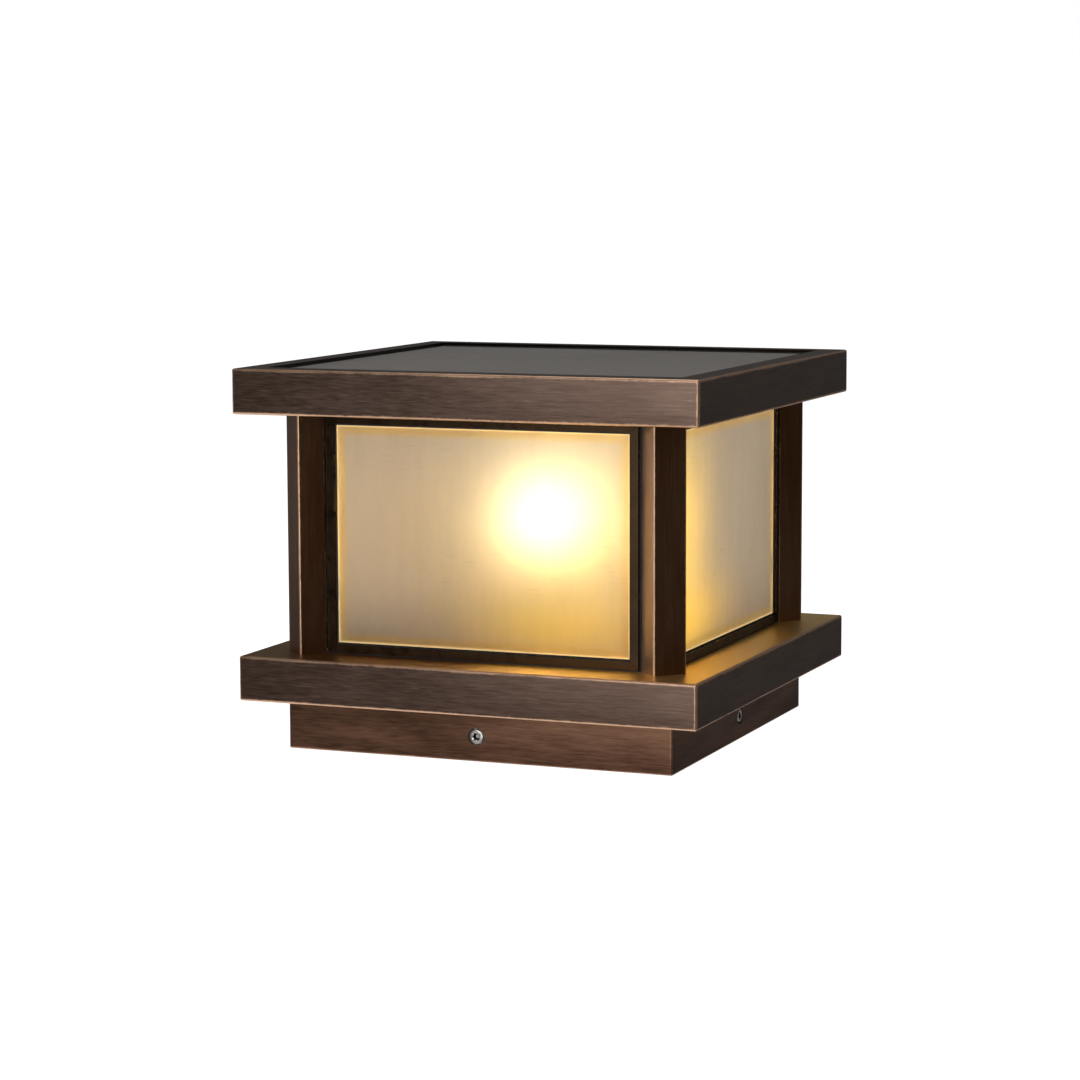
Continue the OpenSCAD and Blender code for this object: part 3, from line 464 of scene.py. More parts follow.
# %% Bronze for posts and bars
POST_W, POST_D, POST_WALL = 21.6, 18.0, 1.2
CORNERS = {"front_right": 45, "rear_right": 135, "rear_left": 225, "front_left": 315}
SIDES = {"front": 0, "right": 90, "rear": 180, "left": 270}
for name, angle in CORNERS.items():
    node = "post_" + name
    FINISH[node] = bronze(
        "bronze_" + node, centre_and_half(node)[0], (POST_W / 2 * MM, POST_D / 2 * MM, 1.0),
        math.radians(angle), ALONG_UPRIGHT, wear=1.4 * MM, polish=0.36, groove=0.6, lines_show=0.3,
        dark=(0.128, 0.050, 0.018), mid=(0.218, 0.114, 0.062),
        # A painted highlight: one face of these two posts is painted paler
        painted_lit_face=POST_W / 2 * MM if name in ("front_right", "rear_left") else None)
for name, angle in SIDES.items():
    node = "window_frame_" + name
    centre, half = centre_and_half(node)
    if name in ("right", "left"):
        half = (half[1], half[0], half[2])
    FINISH[node] = bronze(
        "bronze_" + node, centre, half, math.radians(angle), ROLLED, wear=0.01 * MM, groove=0.1,
        lines_show=0.3, dark=(0.045, 0.026, 0.014), mid=(0.072, 0.043, 0.024), scratches=0.0)
print("bronze finishes:", len(FINISH))

# %% [markdown]
# ## Window glass
# The panes are cast amber glass with faint streaks and a satin, light-spreading skin. The glow
# could be faked with a bright picture. Here it is real rough glass over a real shining bulb, so it
# moves with the eye as it does on the lamp. A faint warm emission stands for the light that wanders
# inside the sheet. It is yellower along the edge and weaker at the foot, which the holder shades,
# and it is stronger in two soft patches that were set from the photo.

# %% Amber glass: its colours and where it glows
SEEN = (95.45 * MM, 67.1 * MM)
# The glass's own tint, the tint painted where its glow is strongest, and the yellower edge tint
COOL_TINT, GLOW_TINT, EDGE_TINT = (0.605, 0.528, 0.405), (0.725, 0.570, 0.30), (0.72, 0.52, 0.20)
SKIN_LIGHT, EDGE_LIGHT = (0.042, 0.040, 0.040), (0.066, 0.048, 0.016)
RIM_LIGHT = (0.34, 0.27, 0.15)
# Where the yellow border and the bright rim fade in from the edge, and the heights at the foot
BORDER, RIM, FOOT = (7.5 * MM, 3.0 * MM), (1.3 * MM, 0.4 * MM), (-67 * MM, -20 * MM)
# What plain glass lets through, and what streaks, threads and marks add to it or take away
CLEAR, BY_STREAK, BY_THREAD, BY_MARK = 0.91, 0.07, 0.08, 0.16
# The two soft patches of painted glow on each pane, and the light that is left at its foot
MIDDLE = ((0.0, 0.0, 0.080, 0.065, (0.10, 0.070, 0.022)),
          (0.0, -0.050, 0.075, 0.025, (0.12, 0.082, 0.022)), 0.8)
GLOW = {"front": ((0.055, -0.005, 0.080, 0.065, (0.12, 0.080, 0.018)),
                  (0.048, -0.050, 0.050, 0.019, (0.27, 0.175, 0.010)), 0.73),
        "right": ((-0.095, 0.0, 0.058, 0.070, (0.40, 0.27, 0.045)),
                  (-0.095, -0.050, 0.080, 0.022, (0.40, 0.25, 0.020)), 0.92),
        "rear": MIDDLE, "left": MIDDLE}


def soft_patch(tree, x, z, x_mid, z_mid, x_reach, z_reach):
    """A soft patch on the pane: exp(-((x - x_mid) / x_reach)^2 - ((z - z_mid) / z_reach)^2)."""
    squares = []
    for value, middle, reach in ((x, x_mid, x_reach), (z, z_mid, z_reach)):
        share = maths(tree, "DIVIDE", maths(tree, "SUBTRACT", value, middle), reach)
        squares.append(times(tree, share, share))
    return maths(tree, "EXPONENT", times(tree, maths(tree, "ADD", *squares), -1.0))


print("glass seen between the bars: %.1f x %.1f mm" % tuple(2 / MM * half for half in SEEN))


# %% Amber glass
def amber_glass(name, centre, turn, glow, foot_glow, foot_shade):
    """Amber glass for one pane. SEEN is half the width and height that the bars leave free. glow
    and foot_glow are (x, z, reach in x, reach in z, colour) of two soft patches of painted glow, in
    which the glass's colour is painted more golden and its emission brighter; foot_shade is what is
    left of the light at the foot, where colour and emission are both painted darker."""
    material, tree, body, place = start_material(
        name, **{"Metallic": 0.0, "IOR": 1.45, "Transmission Weight": 0.78,
                 "Emission Strength": 1.0, "Specular IOR Level": 0.35})
    local = on_piece(tree, place, centre, turn)
    cast = use(tree, "Cast Streaks", {"Vector": local})
    x, _, z = split(tree, local)
    from_side, from_end = (maths(tree, "SUBTRACT", half, maths(tree, "ABSOLUTE", value))
                           for half, value in zip(SEEN, (x, z)))
    edge = maths(tree, "MINIMUM", from_side, from_end)
    border, rim = between(tree, edge, *BORDER), between(tree, edge, *RIM)
    strength = maths(tree, "MULTIPLY_ADD", cast["Tone"], BY_STREAK, CLEAR)
    strength = maths(tree, "MULTIPLY_ADD", cast["Height"], BY_THREAD, strength)
    strength = maths(tree, "SUBTRACT", strength, times(tree, cast["Marks"], BY_MARK))
    # Colour and emission both painted darker towards the foot: painted shade
    strength = times(tree, strength, between(tree, z, *FOOT, foot_shade, 1.0))
    # Two soft patches of painted glow: the glass's colour more golden and its emission brighter
    warm = soft_patch(tree, x, z, *glow[:4])
    foot = soft_patch(tree, x, z, *foot_glow[:4])
    tint = blended(tree, warm, COOL_TINT, GLOW_TINT)
    tint = blended(tree, maths(tree, "MAXIMUM", border, times(tree, foot, 0.6)), tint, EDGE_TINT)
    light = blended(tree, foot, blended(tree, warm, SKIN_LIGHT, glow[4]), foot_glow[4])
    light = blended(tree, times(tree, border, 0.55), light, EDGE_LIGHT)
    light = vectors(tree, "SCALE", {0: light, "Scale": strength})
    fill(tree, body.inputs, {"Emission Color": blended(tree, rim, light, RIM_LIGHT)})
    surface(tree, body, vectors(tree, "SCALE", {0: tint, "Scale": strength}),
            between(tree, cast["Height"], 0.3, 0.7, 0.53, 0.60), cast["Height"], 0.4, 0.3 * MM)
    return material


for name, angle in SIDES.items():
    centre, _ = centre_and_half("pane_" + name)
    FINISH["pane_" + name] = amber_glass("amber_pane_" + name, centre, math.radians(angle),
                                         *GLOW[name])
    print("pane", name, "centre", np.round(centre, 4))

# %% [markdown]
# ## Plain finishes
# The rest are metals, plastics and rubber. A flat colour would do for pieces that are hardly seen,
# but the lamp opens, and then they are. So each has its own ground, grain and roughness: cast and
# turned metal gets clouds and specks, moulded pieces get the mould's grain.


# %% Metals and moulded finishes
def plain_metal(name, low, high, rough, scale=60.0, depth=0.03 * MM):
    """Metal with clouds between two tones, small specks and a fine relief."""
    material, tree, body, place = start_material(name, Metallic=1.0)
    clouds = use(tree, "Patina Clouds", {"Vector": place, "Scale": scale})
    colour = blended(tree, clouds["Cloud"], low, high)
    dull = tuple(0.45 * part for part in low)
    surface(tree, body, blended(tree, times(tree, clouds["Speck"], 0.6), colour, dull),
            between(tree, clouds["Cloud"], 0, 1, rough + 0.06, rough - 0.04), clouds["Cloud"],
            depth=depth)
    return material


def moulded(name, low, high, rough):
    """Plastic, rubber or lacquer: the mould's grain, and slow clouds between two tones."""
    material, tree, body, place = start_material(name, Metallic=0.0)
    grain = use(tree, "Moulded Grain", {"Vector": place, "Scale": 900.0})
    surface(tree, body, blended(tree, grain["Tone"], low, high),
            between(tree, grain["Tone"], 0, 1, rough - 0.05, rough + 0.07), grain["Height"], 0.35,
            0.04 * MM)
    return material


SLOT = {}
for name, *look in (
        ("stainless", (0.50, 0.48, 0.45), (0.66, 0.64, 0.61), 0.25),
        ("zinc_steel", (0.36, 0.38, 0.41), (0.58, 0.60, 0.63), 0.38, 110.0),
        ("cast_aluminium", (0.42, 0.42, 0.42), (0.55, 0.55, 0.55), 0.45, 200.0, 0.1 * MM),
        ("brass", (0.56, 0.38, 0.13), (0.74, 0.54, 0.22), 0.24)):
    SLOT[name] = plain_metal(name, *look)
for name, *look in (
        ("black_rubber", (0.010, 0.009, 0.008), (0.022, 0.020, 0.018), 0.62),
        ("black_resin", (0.012, 0.012, 0.013), (0.024, 0.023, 0.024), 0.38),
        ("white_plastic", (0.72, 0.70, 0.65), (0.80, 0.78, 0.73), 0.34),
        ("grey_plastic", (0.035, 0.036, 0.038), (0.055, 0.056, 0.058), 0.45),
        ("red_lead", (0.30, 0.015, 0.012), (0.38, 0.025, 0.02), 0.35)):
    SLOT[name] = moulded(name, *look)
print("plain finishes:", sorted(SLOT))

# %% [markdown]
# ### Panel glass and opal globe
# The roof's panel is toughened glass with an etched, non-glare face. It looks a plain neutral grey
# from the side and hides the cells. Clear glass over real cells would be truer to how it works, but
# not to how it looks, so the grey is the skin's own. The bulb's globe is opal plastic that shines
# evenly: a shining surface is cheaper than a lamp inside a cloudy volume, and looks the same.


# %% Panel glass and opal globe
def panel_glass():
    """Etched grey glass: a fine even grain on a grey ground, dulled by a little dust."""
    material, tree, body, place = start_material("panel_glass", Metallic=0.0, IOR=1.45)
    grain = use(tree, "Moulded Grain", {"Vector": place, "Scale": 2200.0})
    dust = use(tree, "Patina Clouds", {"Vector": place, "Scale": 9.0})["Cloud"]
    ground = blended(tree, grain["Tone"], (0.275, 0.256, 0.240), (0.310, 0.290, 0.270))
    surface(tree, body, blended(tree, times(tree, dust, 0.22), ground, (0.33, 0.315, 0.29)),
            between(tree, dust, 0, 1, 0.42, 0.55), grain["Height"], 0.25)
    return material


def opal_globe():
    """Opal plastic over the shining board: warm emission, a little warmer towards the foot."""
    material, tree, body, place = start_material("opal_globe", **{"Roughness": 0.3,
                                                                  "Emission Strength": 100.0})
    height = between(tree, split(tree, place)[2], 115 * MM, 150 * MM)
    grain = use(tree, "Moulded Grain", {"Vector": place, "Scale": 500.0})
    fill(tree, body.inputs, {
        "Base Color": blended(tree, grain["Tone"], (0.84, 0.81, 0.74), (0.88, 0.85, 0.78)),
        "Emission Color": blended(tree, height, (1.0, 0.92, 0.80), (0.94, 0.90, 0.82))})
    return material


SLOT["panel_glass"] = panel_glass()
SLOT["opal_globe"] = opal_globe()
print("glass and globe:", SLOT["panel_glass"].name, SLOT["opal_globe"].name)

# %% [markdown]
# ### Steel of the side screws
# A socket-headed screw is bright steel, but its socket looks black from outside: it holds old
# oil, and its walls are painted dark for the oil and as painted shade.
# A second material on the socket's faces would do. A mask round the screw's axis keeps it to one
# material, and it is why each side has its own, centred on its screw.

# %% Steel with a dark socket
SKIRT_FACE, SIDE_SCREW_Z = 126.0, 15.5


def about_z(vector, degrees):
    """The vector turned about the lamp's upright axis."""
    a = math.radians(degrees)
    x, y, z = vector
    return np.array([x * math.cos(a) - y * math.sin(a), x * math.sin(a) + y * math.cos(a), z])


def socket_steel(name, centre, turn):
    """Steel of a side screw, its axis along the local Y. The socket's walls, from 1.2 mm to 2.4 mm
    off the axis and under the head's face, are painted dark: old oil, and painted shade in the
    socket."""
    material, tree, body, place = start_material(name, Metallic=1.0)
    local = on_piece(tree, place, centre, turn)
    cloud = use(tree, "Patina Clouds", {"Vector": local, "Scale": 90.0})["Cloud"]
    x, y, z = split(tree, local)
    off = maths(tree, "SQRT", maths(tree, "ADD", times(tree, x, x), times(tree, z, z)))
    wall = times(tree, between(tree, off, 1.0 * MM, 1.4 * MM),
                 between(tree, off, 2.45 * MM, 2.25 * MM))
    # Old oil and painted shade in the socket
    oil_and_shade = times(tree, wall, between(tree, y, 0.1 * MM, 0.3 * MM))
    steel = blended(tree, cloud, (0.74, 0.70, 0.66), (0.86, 0.83, 0.79))
    surface(tree, body, blended(tree, oil_and_shade, steel, (0.035, 0.030, 0.027)),
            between(tree, cloud, 0, 1, 0.40, 0.32))
    return material


for side, angle in SIDES.items():
    seat = tuple(about_z((0, -SKIRT_FACE, SIDE_SCREW_Z), angle) * MM)
    FINISH["side_screw_" + side] = socket_steel("screw_steel_" + side, seat, math.radians(angle))
print("screw steels:", len(SIDES))

# %% [markdown]
# ### Solar cells and circuit board
# Under the roof's glass lie blue cells with silver fingers, and in the roof a green board with
# copper traces. Each finger and trace could be a strip of mesh, but they are far thinner than the
# sheet around them. Folding a coordinate back and forth draws them as stripes instead.


# %% Solar cells and circuit board
BOARD_TOP = 219.2


def stripes(tree, value, spacing, inner, outer):
    """Lines that lie twice the spacing apart. The value is folded back and forth between 0 and the
    spacing, and the mask is 1 where that is below inner and 0 where it is above outer."""
    return between(tree, maths(tree, "PINGPONG", value, spacing), inner, outer, 1.0, 0.0)


def solar_silicon():
    """Dark blue cells with thin silver fingers every 2 mm and wider ones across them."""
    material, tree, body, place = start_material("cell_silicon", Metallic=0.0)
    grain = use(tree, "Moulded Grain", {"Vector": place, "Scale": 300.0})["Tone"]
    x, y, _ = split(tree, place)
    silver = maths(tree, "MAXIMUM", stripes(tree, x, 1 * MM, 0.08 * MM, 0.12 * MM),
                   stripes(tree, y, 13 * MM, 0.6 * MM, 0.7 * MM))
    cell = blended(tree, grain, (0.008, 0.012, 0.030), (0.018, 0.026, 0.055))
    surface(tree, body, blended(tree, silver, cell, (0.55, 0.56, 0.58)),
            between(tree, grain, 0, 1, 0.16, 0.24))
    return material


def board_laminate():
    """Green laminate with copper traces under the lacquer. What stands above BOARD_TOP is a black
    part soldered on it."""
    material, tree, body, place = start_material("board_laminate", Metallic=0.0)
    grain = use(tree, "Moulded Grain", {"Vector": place, "Scale": 2400.0})["Tone"]
    _, y, z = split(tree, place)
    bent = maths(tree, "MULTIPLY_ADD", noise(tree, place, 60.0, 0.0), 0.012, y)
    trace = stripes(tree, bent, 1.1 * MM, 0.22 * MM, 0.30 * MM)
    green = blended(tree, grain, (0.010, 0.075, 0.035), (0.018, 0.11, 0.05))
    green = blended(tree, times(tree, trace, 0.6), green, (0.05, 0.22, 0.10))
    above = between(tree, z, BOARD_TOP * MM - 0.05 * MM, BOARD_TOP * MM + 0.05 * MM)
    surface(tree, body, blended(tree, above, green, (0.016, 0.016, 0.018)),
            between(tree, grain, 0, 1, 0.26, 0.36))
    return material


FINISH["solar_cells"] = solar_silicon()
FINISH["control_board"] = board_laminate()
print("board's parts stand above %.1f mm" % BOARD_TOP)

# %% [markdown]
# ### Pieces with two grounds
# A battery cell is wrapped but for its ends, and a bulb's cap is metal but for its black foot. Each
# could be cut into two pieces, which the real ones aren't. Here an attribute on the mesh says where
# the second ground shows.


# %% Wrapped cells and plated cap
def part_bare(name, low, high, bare_low, bare_high, rough, metal_rough, bare_metal):
    """Two finishes on one piece: where the attribute "bare" is 1 its own ground shows. One of the
    two is metal, as bare_metal says."""
    material, tree, body, place = start_material(name)
    bare = put(tree, "ShaderNodeAttribute", attribute_name="bare").outputs["Fac"]
    bare = between(tree, bare, 0.45, 0.55)
    grain = use(tree, "Moulded Grain", {"Vector": place, "Scale": 500.0})
    cloud = use(tree, "Patina Clouds", {"Vector": place, "Scale": 60.0})["Cloud"]
    covered = blended(tree, grain["Tone"], low, high)
    metal = bare if bare_metal else maths(tree, "SUBTRACT", 1.0, bare)
    fill(tree, body.inputs, {"Metallic": metal})
    surface(tree, body, blended(tree, bare, covered, blended(tree, cloud, bare_low, bare_high)),
            between(tree, metal, 0, 1, rough, metal_rough), grain["Height"])
    return material


FINISH["battery_cells"] = part_bare("wrapped_cell", (0.02, 0.14, 0.085), (0.03, 0.19, 0.12),
                                    (0.55, 0.54, 0.52), (0.70, 0.69, 0.66), 0.27, 0.3, True)
FINISH["bulb_cap"] = part_bare("plated_cap", (0.55, 0.53, 0.49), (0.72, 0.70, 0.65),
                               (0.02, 0.02, 0.024), (0.035, 0.034, 0.04), 0.25, 0.24, False)
print("finishes of their own:", len(FINISH), "and by slot:", len(SLOT))

# %% [markdown]
# ## Smoothed copies of the CAD pieces
# Most pieces have their real shape in CAD already: folded sheet, mitred bars, glass, clips and
# blocks. The frame's meshes are loose triangles, so a copy is welded, its flat faces are joined
# into one face each, and a narrow bevel breaks the sharp edges. That is what makes metal edges
# catch light, and it costs far less than modelling every fold again.


# %% Helpers: putting a piece in its place
def link(name, mesh):
    """A new object for the mesh."""
    thing = bpy.data.objects.new(name, mesh)
    bpy.context.scene.collection.objects.link(thing)
    return thing


def finish_piece(thing, node):
    """Gives a piece that stands for a CAD node the finish, the body that carries it and the
    material slot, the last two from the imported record."""
    record = frame["record"]
    body = next(b for b, members in record["behaviour"]["bodies"].items() if node in members)
    slot = next(p["material_slot"] for p in record["subparts"] if p["node"] == node)
    thing.data.materials.clear()
    thing.data.materials.append(FINISH.get(node) or SLOT[slot])
    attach(thing, body)
    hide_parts(node)
    return thing


# %% Helper: a welded and bevelled copy of a CAD node
WELD = 0.002 * MM
LEVEL_ANGLE, EDGE_ANGLE = math.radians(0.4), math.radians(32)


def smoothed(node, bevel):
    """Welds a copy of the node's triangles, joins level ones, and bevels edges over EDGE_ANGLE.
    Normals are weighted by face area, so that a fold curves and the flat beside it stays flat."""
    mesh = frame["nodes"][node].data.copy()
    shape = bmesh.new()
    shape.from_mesh(mesh)
    bmesh.ops.remove_doubles(shape, verts=shape.verts, dist=WELD)
    bmesh.ops.dissolve_limit(shape, angle_limit=LEVEL_ANGLE, verts=shape.verts, edges=shape.edges,
                             use_dissolve_boundaries=False)
    for face in shape.faces:
        face.smooth = True
    shape.to_mesh(mesh)
    shape.free()
    for layer in [a for a in mesh.attributes if a.name in ("custom_normal", "sharp_face")]:
        mesh.attributes.remove(layer)
    mesh.name = node + ".finished"
    thing = link(mesh.name, mesh)
    if bevel:
        edge = thing.modifiers.new("edge", "BEVEL")
        edge.width, edge.segments = bevel, 2
        edge.limit_method, edge.angle_limit = "ANGLE", EDGE_ANGLE
        edge.use_clamp_overlap = True
    else:
        mesh.set_sharp_from_angle(angle=EDGE_ANGLE)
    level = thing.modifiers.new("level", "WEIGHTED_NORMAL")
    level.mode = "FACE_AREA"
    level.weight = 90
    level.keep_sharp = True
    return finish_piece(thing, node)


print("edges that turn more than %.0f degrees are bevelled" % math.degrees(EDGE_ANGLE))

# %% Smoothed copies: sheet, bars, glass, strips and the parts inside, with their bevels in mm
BEVEL = {
    "mounting_bracket": 0.3, "skirt": 0.25, "base_tray": 0.25, "screw_bushes": 0.2,
    "post_plugs": 0.2, "head_frame": 0.25, "window_frame_front": 0.3, "window_frame_right": 0.3,
    "window_frame_rear": 0.3, "window_frame_left": 0.3, "pane_front": 0.15, "pane_right": 0.15,
    "pane_rear": 0.15, "pane_left": 0.15, "pane_gaskets": 0.15, "pane_clips": 0.15,
    "weather_strips": 0.1, "window_screws": 0.2, "holder_body": 0.4, "holder_contact": 0.15,
    "holder_screws": 0.2, "pin_block": 0.2, "bulb_led_board": 0.1, "roof_shell": 0.25,
    "panel_tape": 0.1, "solar_glass": 0.3, "solar_cells": 0, "solar_backsheet": 0.1,
    "panel_clips": 0.2, "roof_floor": 0.25, "roof_nuts": 0.25, "electronics_tray": 0.2,
    "control_board": 0.15, "socket_block": 0.3, "switch_nut": 0.25,
}
for node, width in BEVEL.items():
    smoothed(node, width * MM)
print("smoothed copies:", len(BEVEL))

# %% [markdown]
# ## Turned and rolled pieces
# Screws, rivets, pins, the bulb and the lamp holder's shell are made on a lathe or by rolling. A
# bevelled copy would leave their shanks plain. Here each one is a profile that goes round an axis,
# computed as one grid of radii, so that the socket's six flats, the knurl and the thread are waves
# in the radius. That is how a real thread is cut too: one turn round, one pitch along. Lathe sizes
# are in millimetres, and `placed` takes them to the lamp's metres.


# %% Helpers: profiles
def eased(points, radius, steps=4):
    """Rounds the corners of a line of points. Each inner corner p gives way to the quadratic curve
    (1-t)^2 a + 2t(1-t) p + t^2 b, where a and b lie on its two sides, at most radius away and at
    most 0.45 of the side."""
    points = np.array(points, float)
    corner = points[1:-1]
    back, on = points[:-2] - corner, points[2:] - corner
    long_back = np.linalg.norm(back, axis=1, keepdims=True)
    long_on = np.linalg.norm(on, axis=1, keepdims=True)
    cut = np.minimum(radius, 0.45 * np.minimum(long_back, long_on))
    start, end = corner + back / long_back * cut, corner + on / long_on * cut
    t = np.linspace(0, 1, steps)[None, :, None]
    start, corner, end = start[:, None], corner[:, None], end[:, None]
    curve = (1 - t) ** 2 * start + 2 * t * (1 - t) * corner + t ** 2 * end
    return np.concatenate([points[:1], curve.reshape(-1, points.shape[1]), points[-1:]])


def plain(*rows):
    """Profile rows (radius, height, socket, knurl, thread) that have only radius and height."""
    rows = np.array(rows, float).reshape(-1, 2)
    return np.hstack([rows, np.zeros((len(rows), 3))])


def thread_rows(radius, low, high, pitch, per_turn=6):
    """Rows along a thread from low to high; its depth fades in and out over one pitch."""
    height = np.arange(low, high, pitch / per_turn)
    fade = np.clip((height - low) / pitch, 0, 1) * np.clip((high - height) / pitch, 0, 1)
    none = np.zeros_like(height)
    return np.column_stack([none + radius, height, none, none, fade])


print("an eased right angle has", len(eased([(0, 0), (1, 0), (1, 1)], 0.2)), "points")


# %% Helpers: turned grids and their place
def turned(rows, steps=48, across=0.0, knurl=0.0, pitch=1.0, depth=0.0, rolled=False):
    """Grid of a turned shape, one row of points for each profile row and one column for each of
    the steps angles. Radius r becomes r + socket (across/2 / cos(a mod 60 - 30) - r), minus knurl
    on every second column, minus depth times a wave of height/pitch - a/360, which is a triangle
    or, when rolled, a sine."""
    radius, height, socket, ridge, thread = np.array(rows, float).T[:, :, None]
    column = np.arange(steps)[None, :]
    angle = 2 * np.pi * column / steps
    flats = across / 2 / np.cos(np.mod(angle, np.pi / 3) - np.pi / 6)
    turn = np.mod(height / pitch - angle / (2 * np.pi), 1)
    wave = 0.5 - 0.5 * np.cos(2 * np.pi * turn) if rolled else np.abs(2 * turn - 1)
    radius = radius + socket * (flats - radius)
    radius = radius - ridge * knurl * (column % 2) - thread * depth * wave
    return np.stack(np.broadcast_arrays(radius * np.cos(angle), radius * np.sin(angle), height), -1)


def placed(points, origin, axis=(0, 0, 1)):
    """Takes a grid from the lathe to its place: its axis to the given one, and millimetres to
    metres. A point (p, q, r) becomes origin + p side + q up + r axis."""
    axis = np.array(axis, float)
    side = np.array([1.0, 0, 0]) if abs(axis[2]) > 0.9 else np.cross((0, 0, 1), axis)
    return (points @ np.array([side, np.cross(axis, side), axis]) + np.array(origin)) * MM


print("a turned cylinder's grid:", turned(plain((0, 0), (1, 0), (1, 2), (0, 2))).shape)


# %% Helper: grids made into one closed piece
POLE_WELD = 0.0001 * MM


def grid_quads(rows, columns, ring):
    """Corner numbers of a grid's quads: point (r, c) with its neighbours in the next row and the
    next column. Columns are counted round, and rows too when ring is true."""
    r = np.arange(rows if ring else rows - 1)[:, None]
    c = np.arange(columns)[None, :]
    r_next, c_next = (r + 1) % rows, (c + 1) % columns
    corners = (r * columns + c, r * columns + c_next, r_next * columns + c_next,
               r_next * columns + c)
    return np.stack(np.broadcast_arrays(*corners), -1).reshape(-1, 4)


def made(name, grids, node, ring=False, sharp=35, marks=None):
    """One closed piece of one or more grids, whose ends are poles that are welded unless ring is
    true. marks gives each row of every grid its value of the attribute "bare"."""
    starts = np.cumsum([0] + [len(grid) * grid.shape[1] for grid in grids[:-1]])
    points = np.concatenate([grid.reshape(-1, 3) for grid in grids])
    quads = np.concatenate([grid_quads(*grid.shape[:2], ring) + start
                            for grid, start in zip(grids, starts)])
    mesh = bpy.data.meshes.new(name)
    mesh.from_pydata(points.tolist(), [], quads.tolist())
    if marks is not None:
        bare = mesh.attributes.new("bare", "FLOAT", "POINT")
        values = np.concatenate([np.repeat(marks, grid.shape[1]) for grid in grids])
        bare.data.foreach_set("value", values.astype(np.float32))
    shape = bmesh.new()
    shape.from_mesh(mesh)
    bmesh.ops.remove_doubles(shape, verts=shape.verts, dist=POLE_WELD)
    bmesh.ops.dissolve_degenerate(shape, edges=shape.edges, dist=POLE_WELD)
    bmesh.ops.recalc_face_normals(shape, faces=shape.faces)
    for face in shape.faces:
        face.smooth = True
    volume = shape.calc_volume(signed=True) / MM ** 3
    open_edges = sum(not edge.is_manifold for edge in shape.edges)
    shape.to_mesh(mesh)
    shape.free()
    mesh.set_sharp_from_angle(angle=math.radians(sharp))
    print("%s: %d faces, %.0f mm3, %d open edges" % (name, len(mesh.polygons), volume, open_edges))
    return finish_piece(link(name, mesh), node)


print("a grid of 3 rows and 8 columns has", len(grid_quads(3, 8, False)), "quads, and",
      len(grid_quads(3, 8, True)), "as a ring")

# %% [markdown]
# ### Screws
# The four side screws are socket-headed cap screws with a knurled head, sunk in the skirt. The post
# and roof screws are countersunk. All have a hexagon socket, which tells the eye their size. They
# could stay as the CAD's smooth bolts, but then they look blank when the lamp is opened, so each is
# a profile with its own knurl and thread, in the usual sizes of M5 and M4 screws.


# %% Screws with sockets
# The shank's tapered tip, the knurl's depth, and the thread's depth on both kinds of screw, in mm
TIP = 0.6
KNURL_DEPTH, M5_THREAD_DEPTH, SUNK_THREAD_DEPTH = 0.16, 0.3, 0.28


def cap_screw(head_r, head_h, across, socket_depth, shank_r, length, pitch):
    """A cap screw in mm, from the socket's floor out over the head and down the shank. across is
    the socket's width between flats."""
    edge, chamfer = 0.4, 0.25
    corner = across / math.sqrt(3)
    rows = np.vstack([
        plain((0, socket_depth + 0.35), (across * 0.45, socket_depth)),
        [(0, socket_depth, 1, 0, 0), (0, chamfer, 1, 0, 0)],
        plain((corner + 0.1, 0), (head_r - edge - 0.1, 0), (head_r - 0.12, edge * 0.35),
              (head_r, edge), (head_r, edge + 0.15)),
        [(head_r, edge + 0.35, 0, 1, 0), (head_r, head_h - 0.4, 0, 1, 0)],
        plain((head_r, head_h - 0.2), (head_r - 0.15, head_h), (shank_r + 0.2, head_h),
              (shank_r, head_h + 0.15)),
        thread_rows(shank_r, head_h + 0.3, head_h + length - TIP, pitch),
        plain((shank_r - 0.1, head_h + length - TIP), (shank_r - TIP, head_h + length),
              (0, head_h + length))])
    return turned(rows, 72, across, KNURL_DEPTH, pitch, M5_THREAD_DEPTH)


def sunk_screw(head_r, head_h, across, socket_depth, shank_r, length, pitch):
    """A countersunk screw in mm, its head's face at height 0."""
    corner = across / math.sqrt(3)
    rows = np.vstack([
        plain((0, socket_depth), (across * 0.45, socket_depth)),
        [(0, socket_depth - 0.02, 1, 0, 0), (0, 0.15, 1, 0, 0)],
        plain((corner + 0.1, 0), (head_r - 0.15, 0), (head_r, 0.12), (shank_r, head_h)),
        thread_rows(shank_r, head_h + 0.2, length - TIP, pitch, 5),
        plain((shank_r - 0.1, length - TIP), (shank_r - TIP, length), (0, length))])
    return turned(rows, 36, across, 0.0, pitch, SUNK_THREAD_DEPTH)


print("threads are %.2f and %.2f mm deep" % (M5_THREAD_DEPTH, SUNK_THREAD_DEPTH))

# %% Screws in their places
ROOF_SCREW_Y, HEAD_Z, DECK_UNDER, ROOF_Z = 125.5, 207.0, 58.5, 208.5
POST_OUT = 164.83
side_screw = cap_screw(head_r=4.25, head_h=5.0, across=4.0, socket_depth=2.6, shank_r=2.5,
                       length=10.0, pitch=0.8)
roof_screw = sunk_screw(head_r=4.0, head_h=2.0, across=2.5, socket_depth=1.2, shank_r=2.0,
                        length=9.0, pitch=0.7)
post_screw = sunk_screw(head_r=5.0, head_h=2.8, across=3.0, socket_depth=1.9, shank_r=2.5,
                        length=13.5, pitch=0.8)
for side, angle in SIDES.items():
    seat, inwards = about_z((0, -SKIRT_FACE, SIDE_SCREW_Z), angle), about_z((0, 1, 0), angle)
    made("side_screw_%s.cap_screw" % side, [placed(side_screw, seat, inwards)],
         "side_screw_" + side)
    seat = about_z((0, -ROOF_SCREW_Y, HEAD_Z), angle)
    made("roof_screw_%s.sunk_screw" % side, [placed(roof_screw, seat)], "roof_screw_" + side)
ends = []
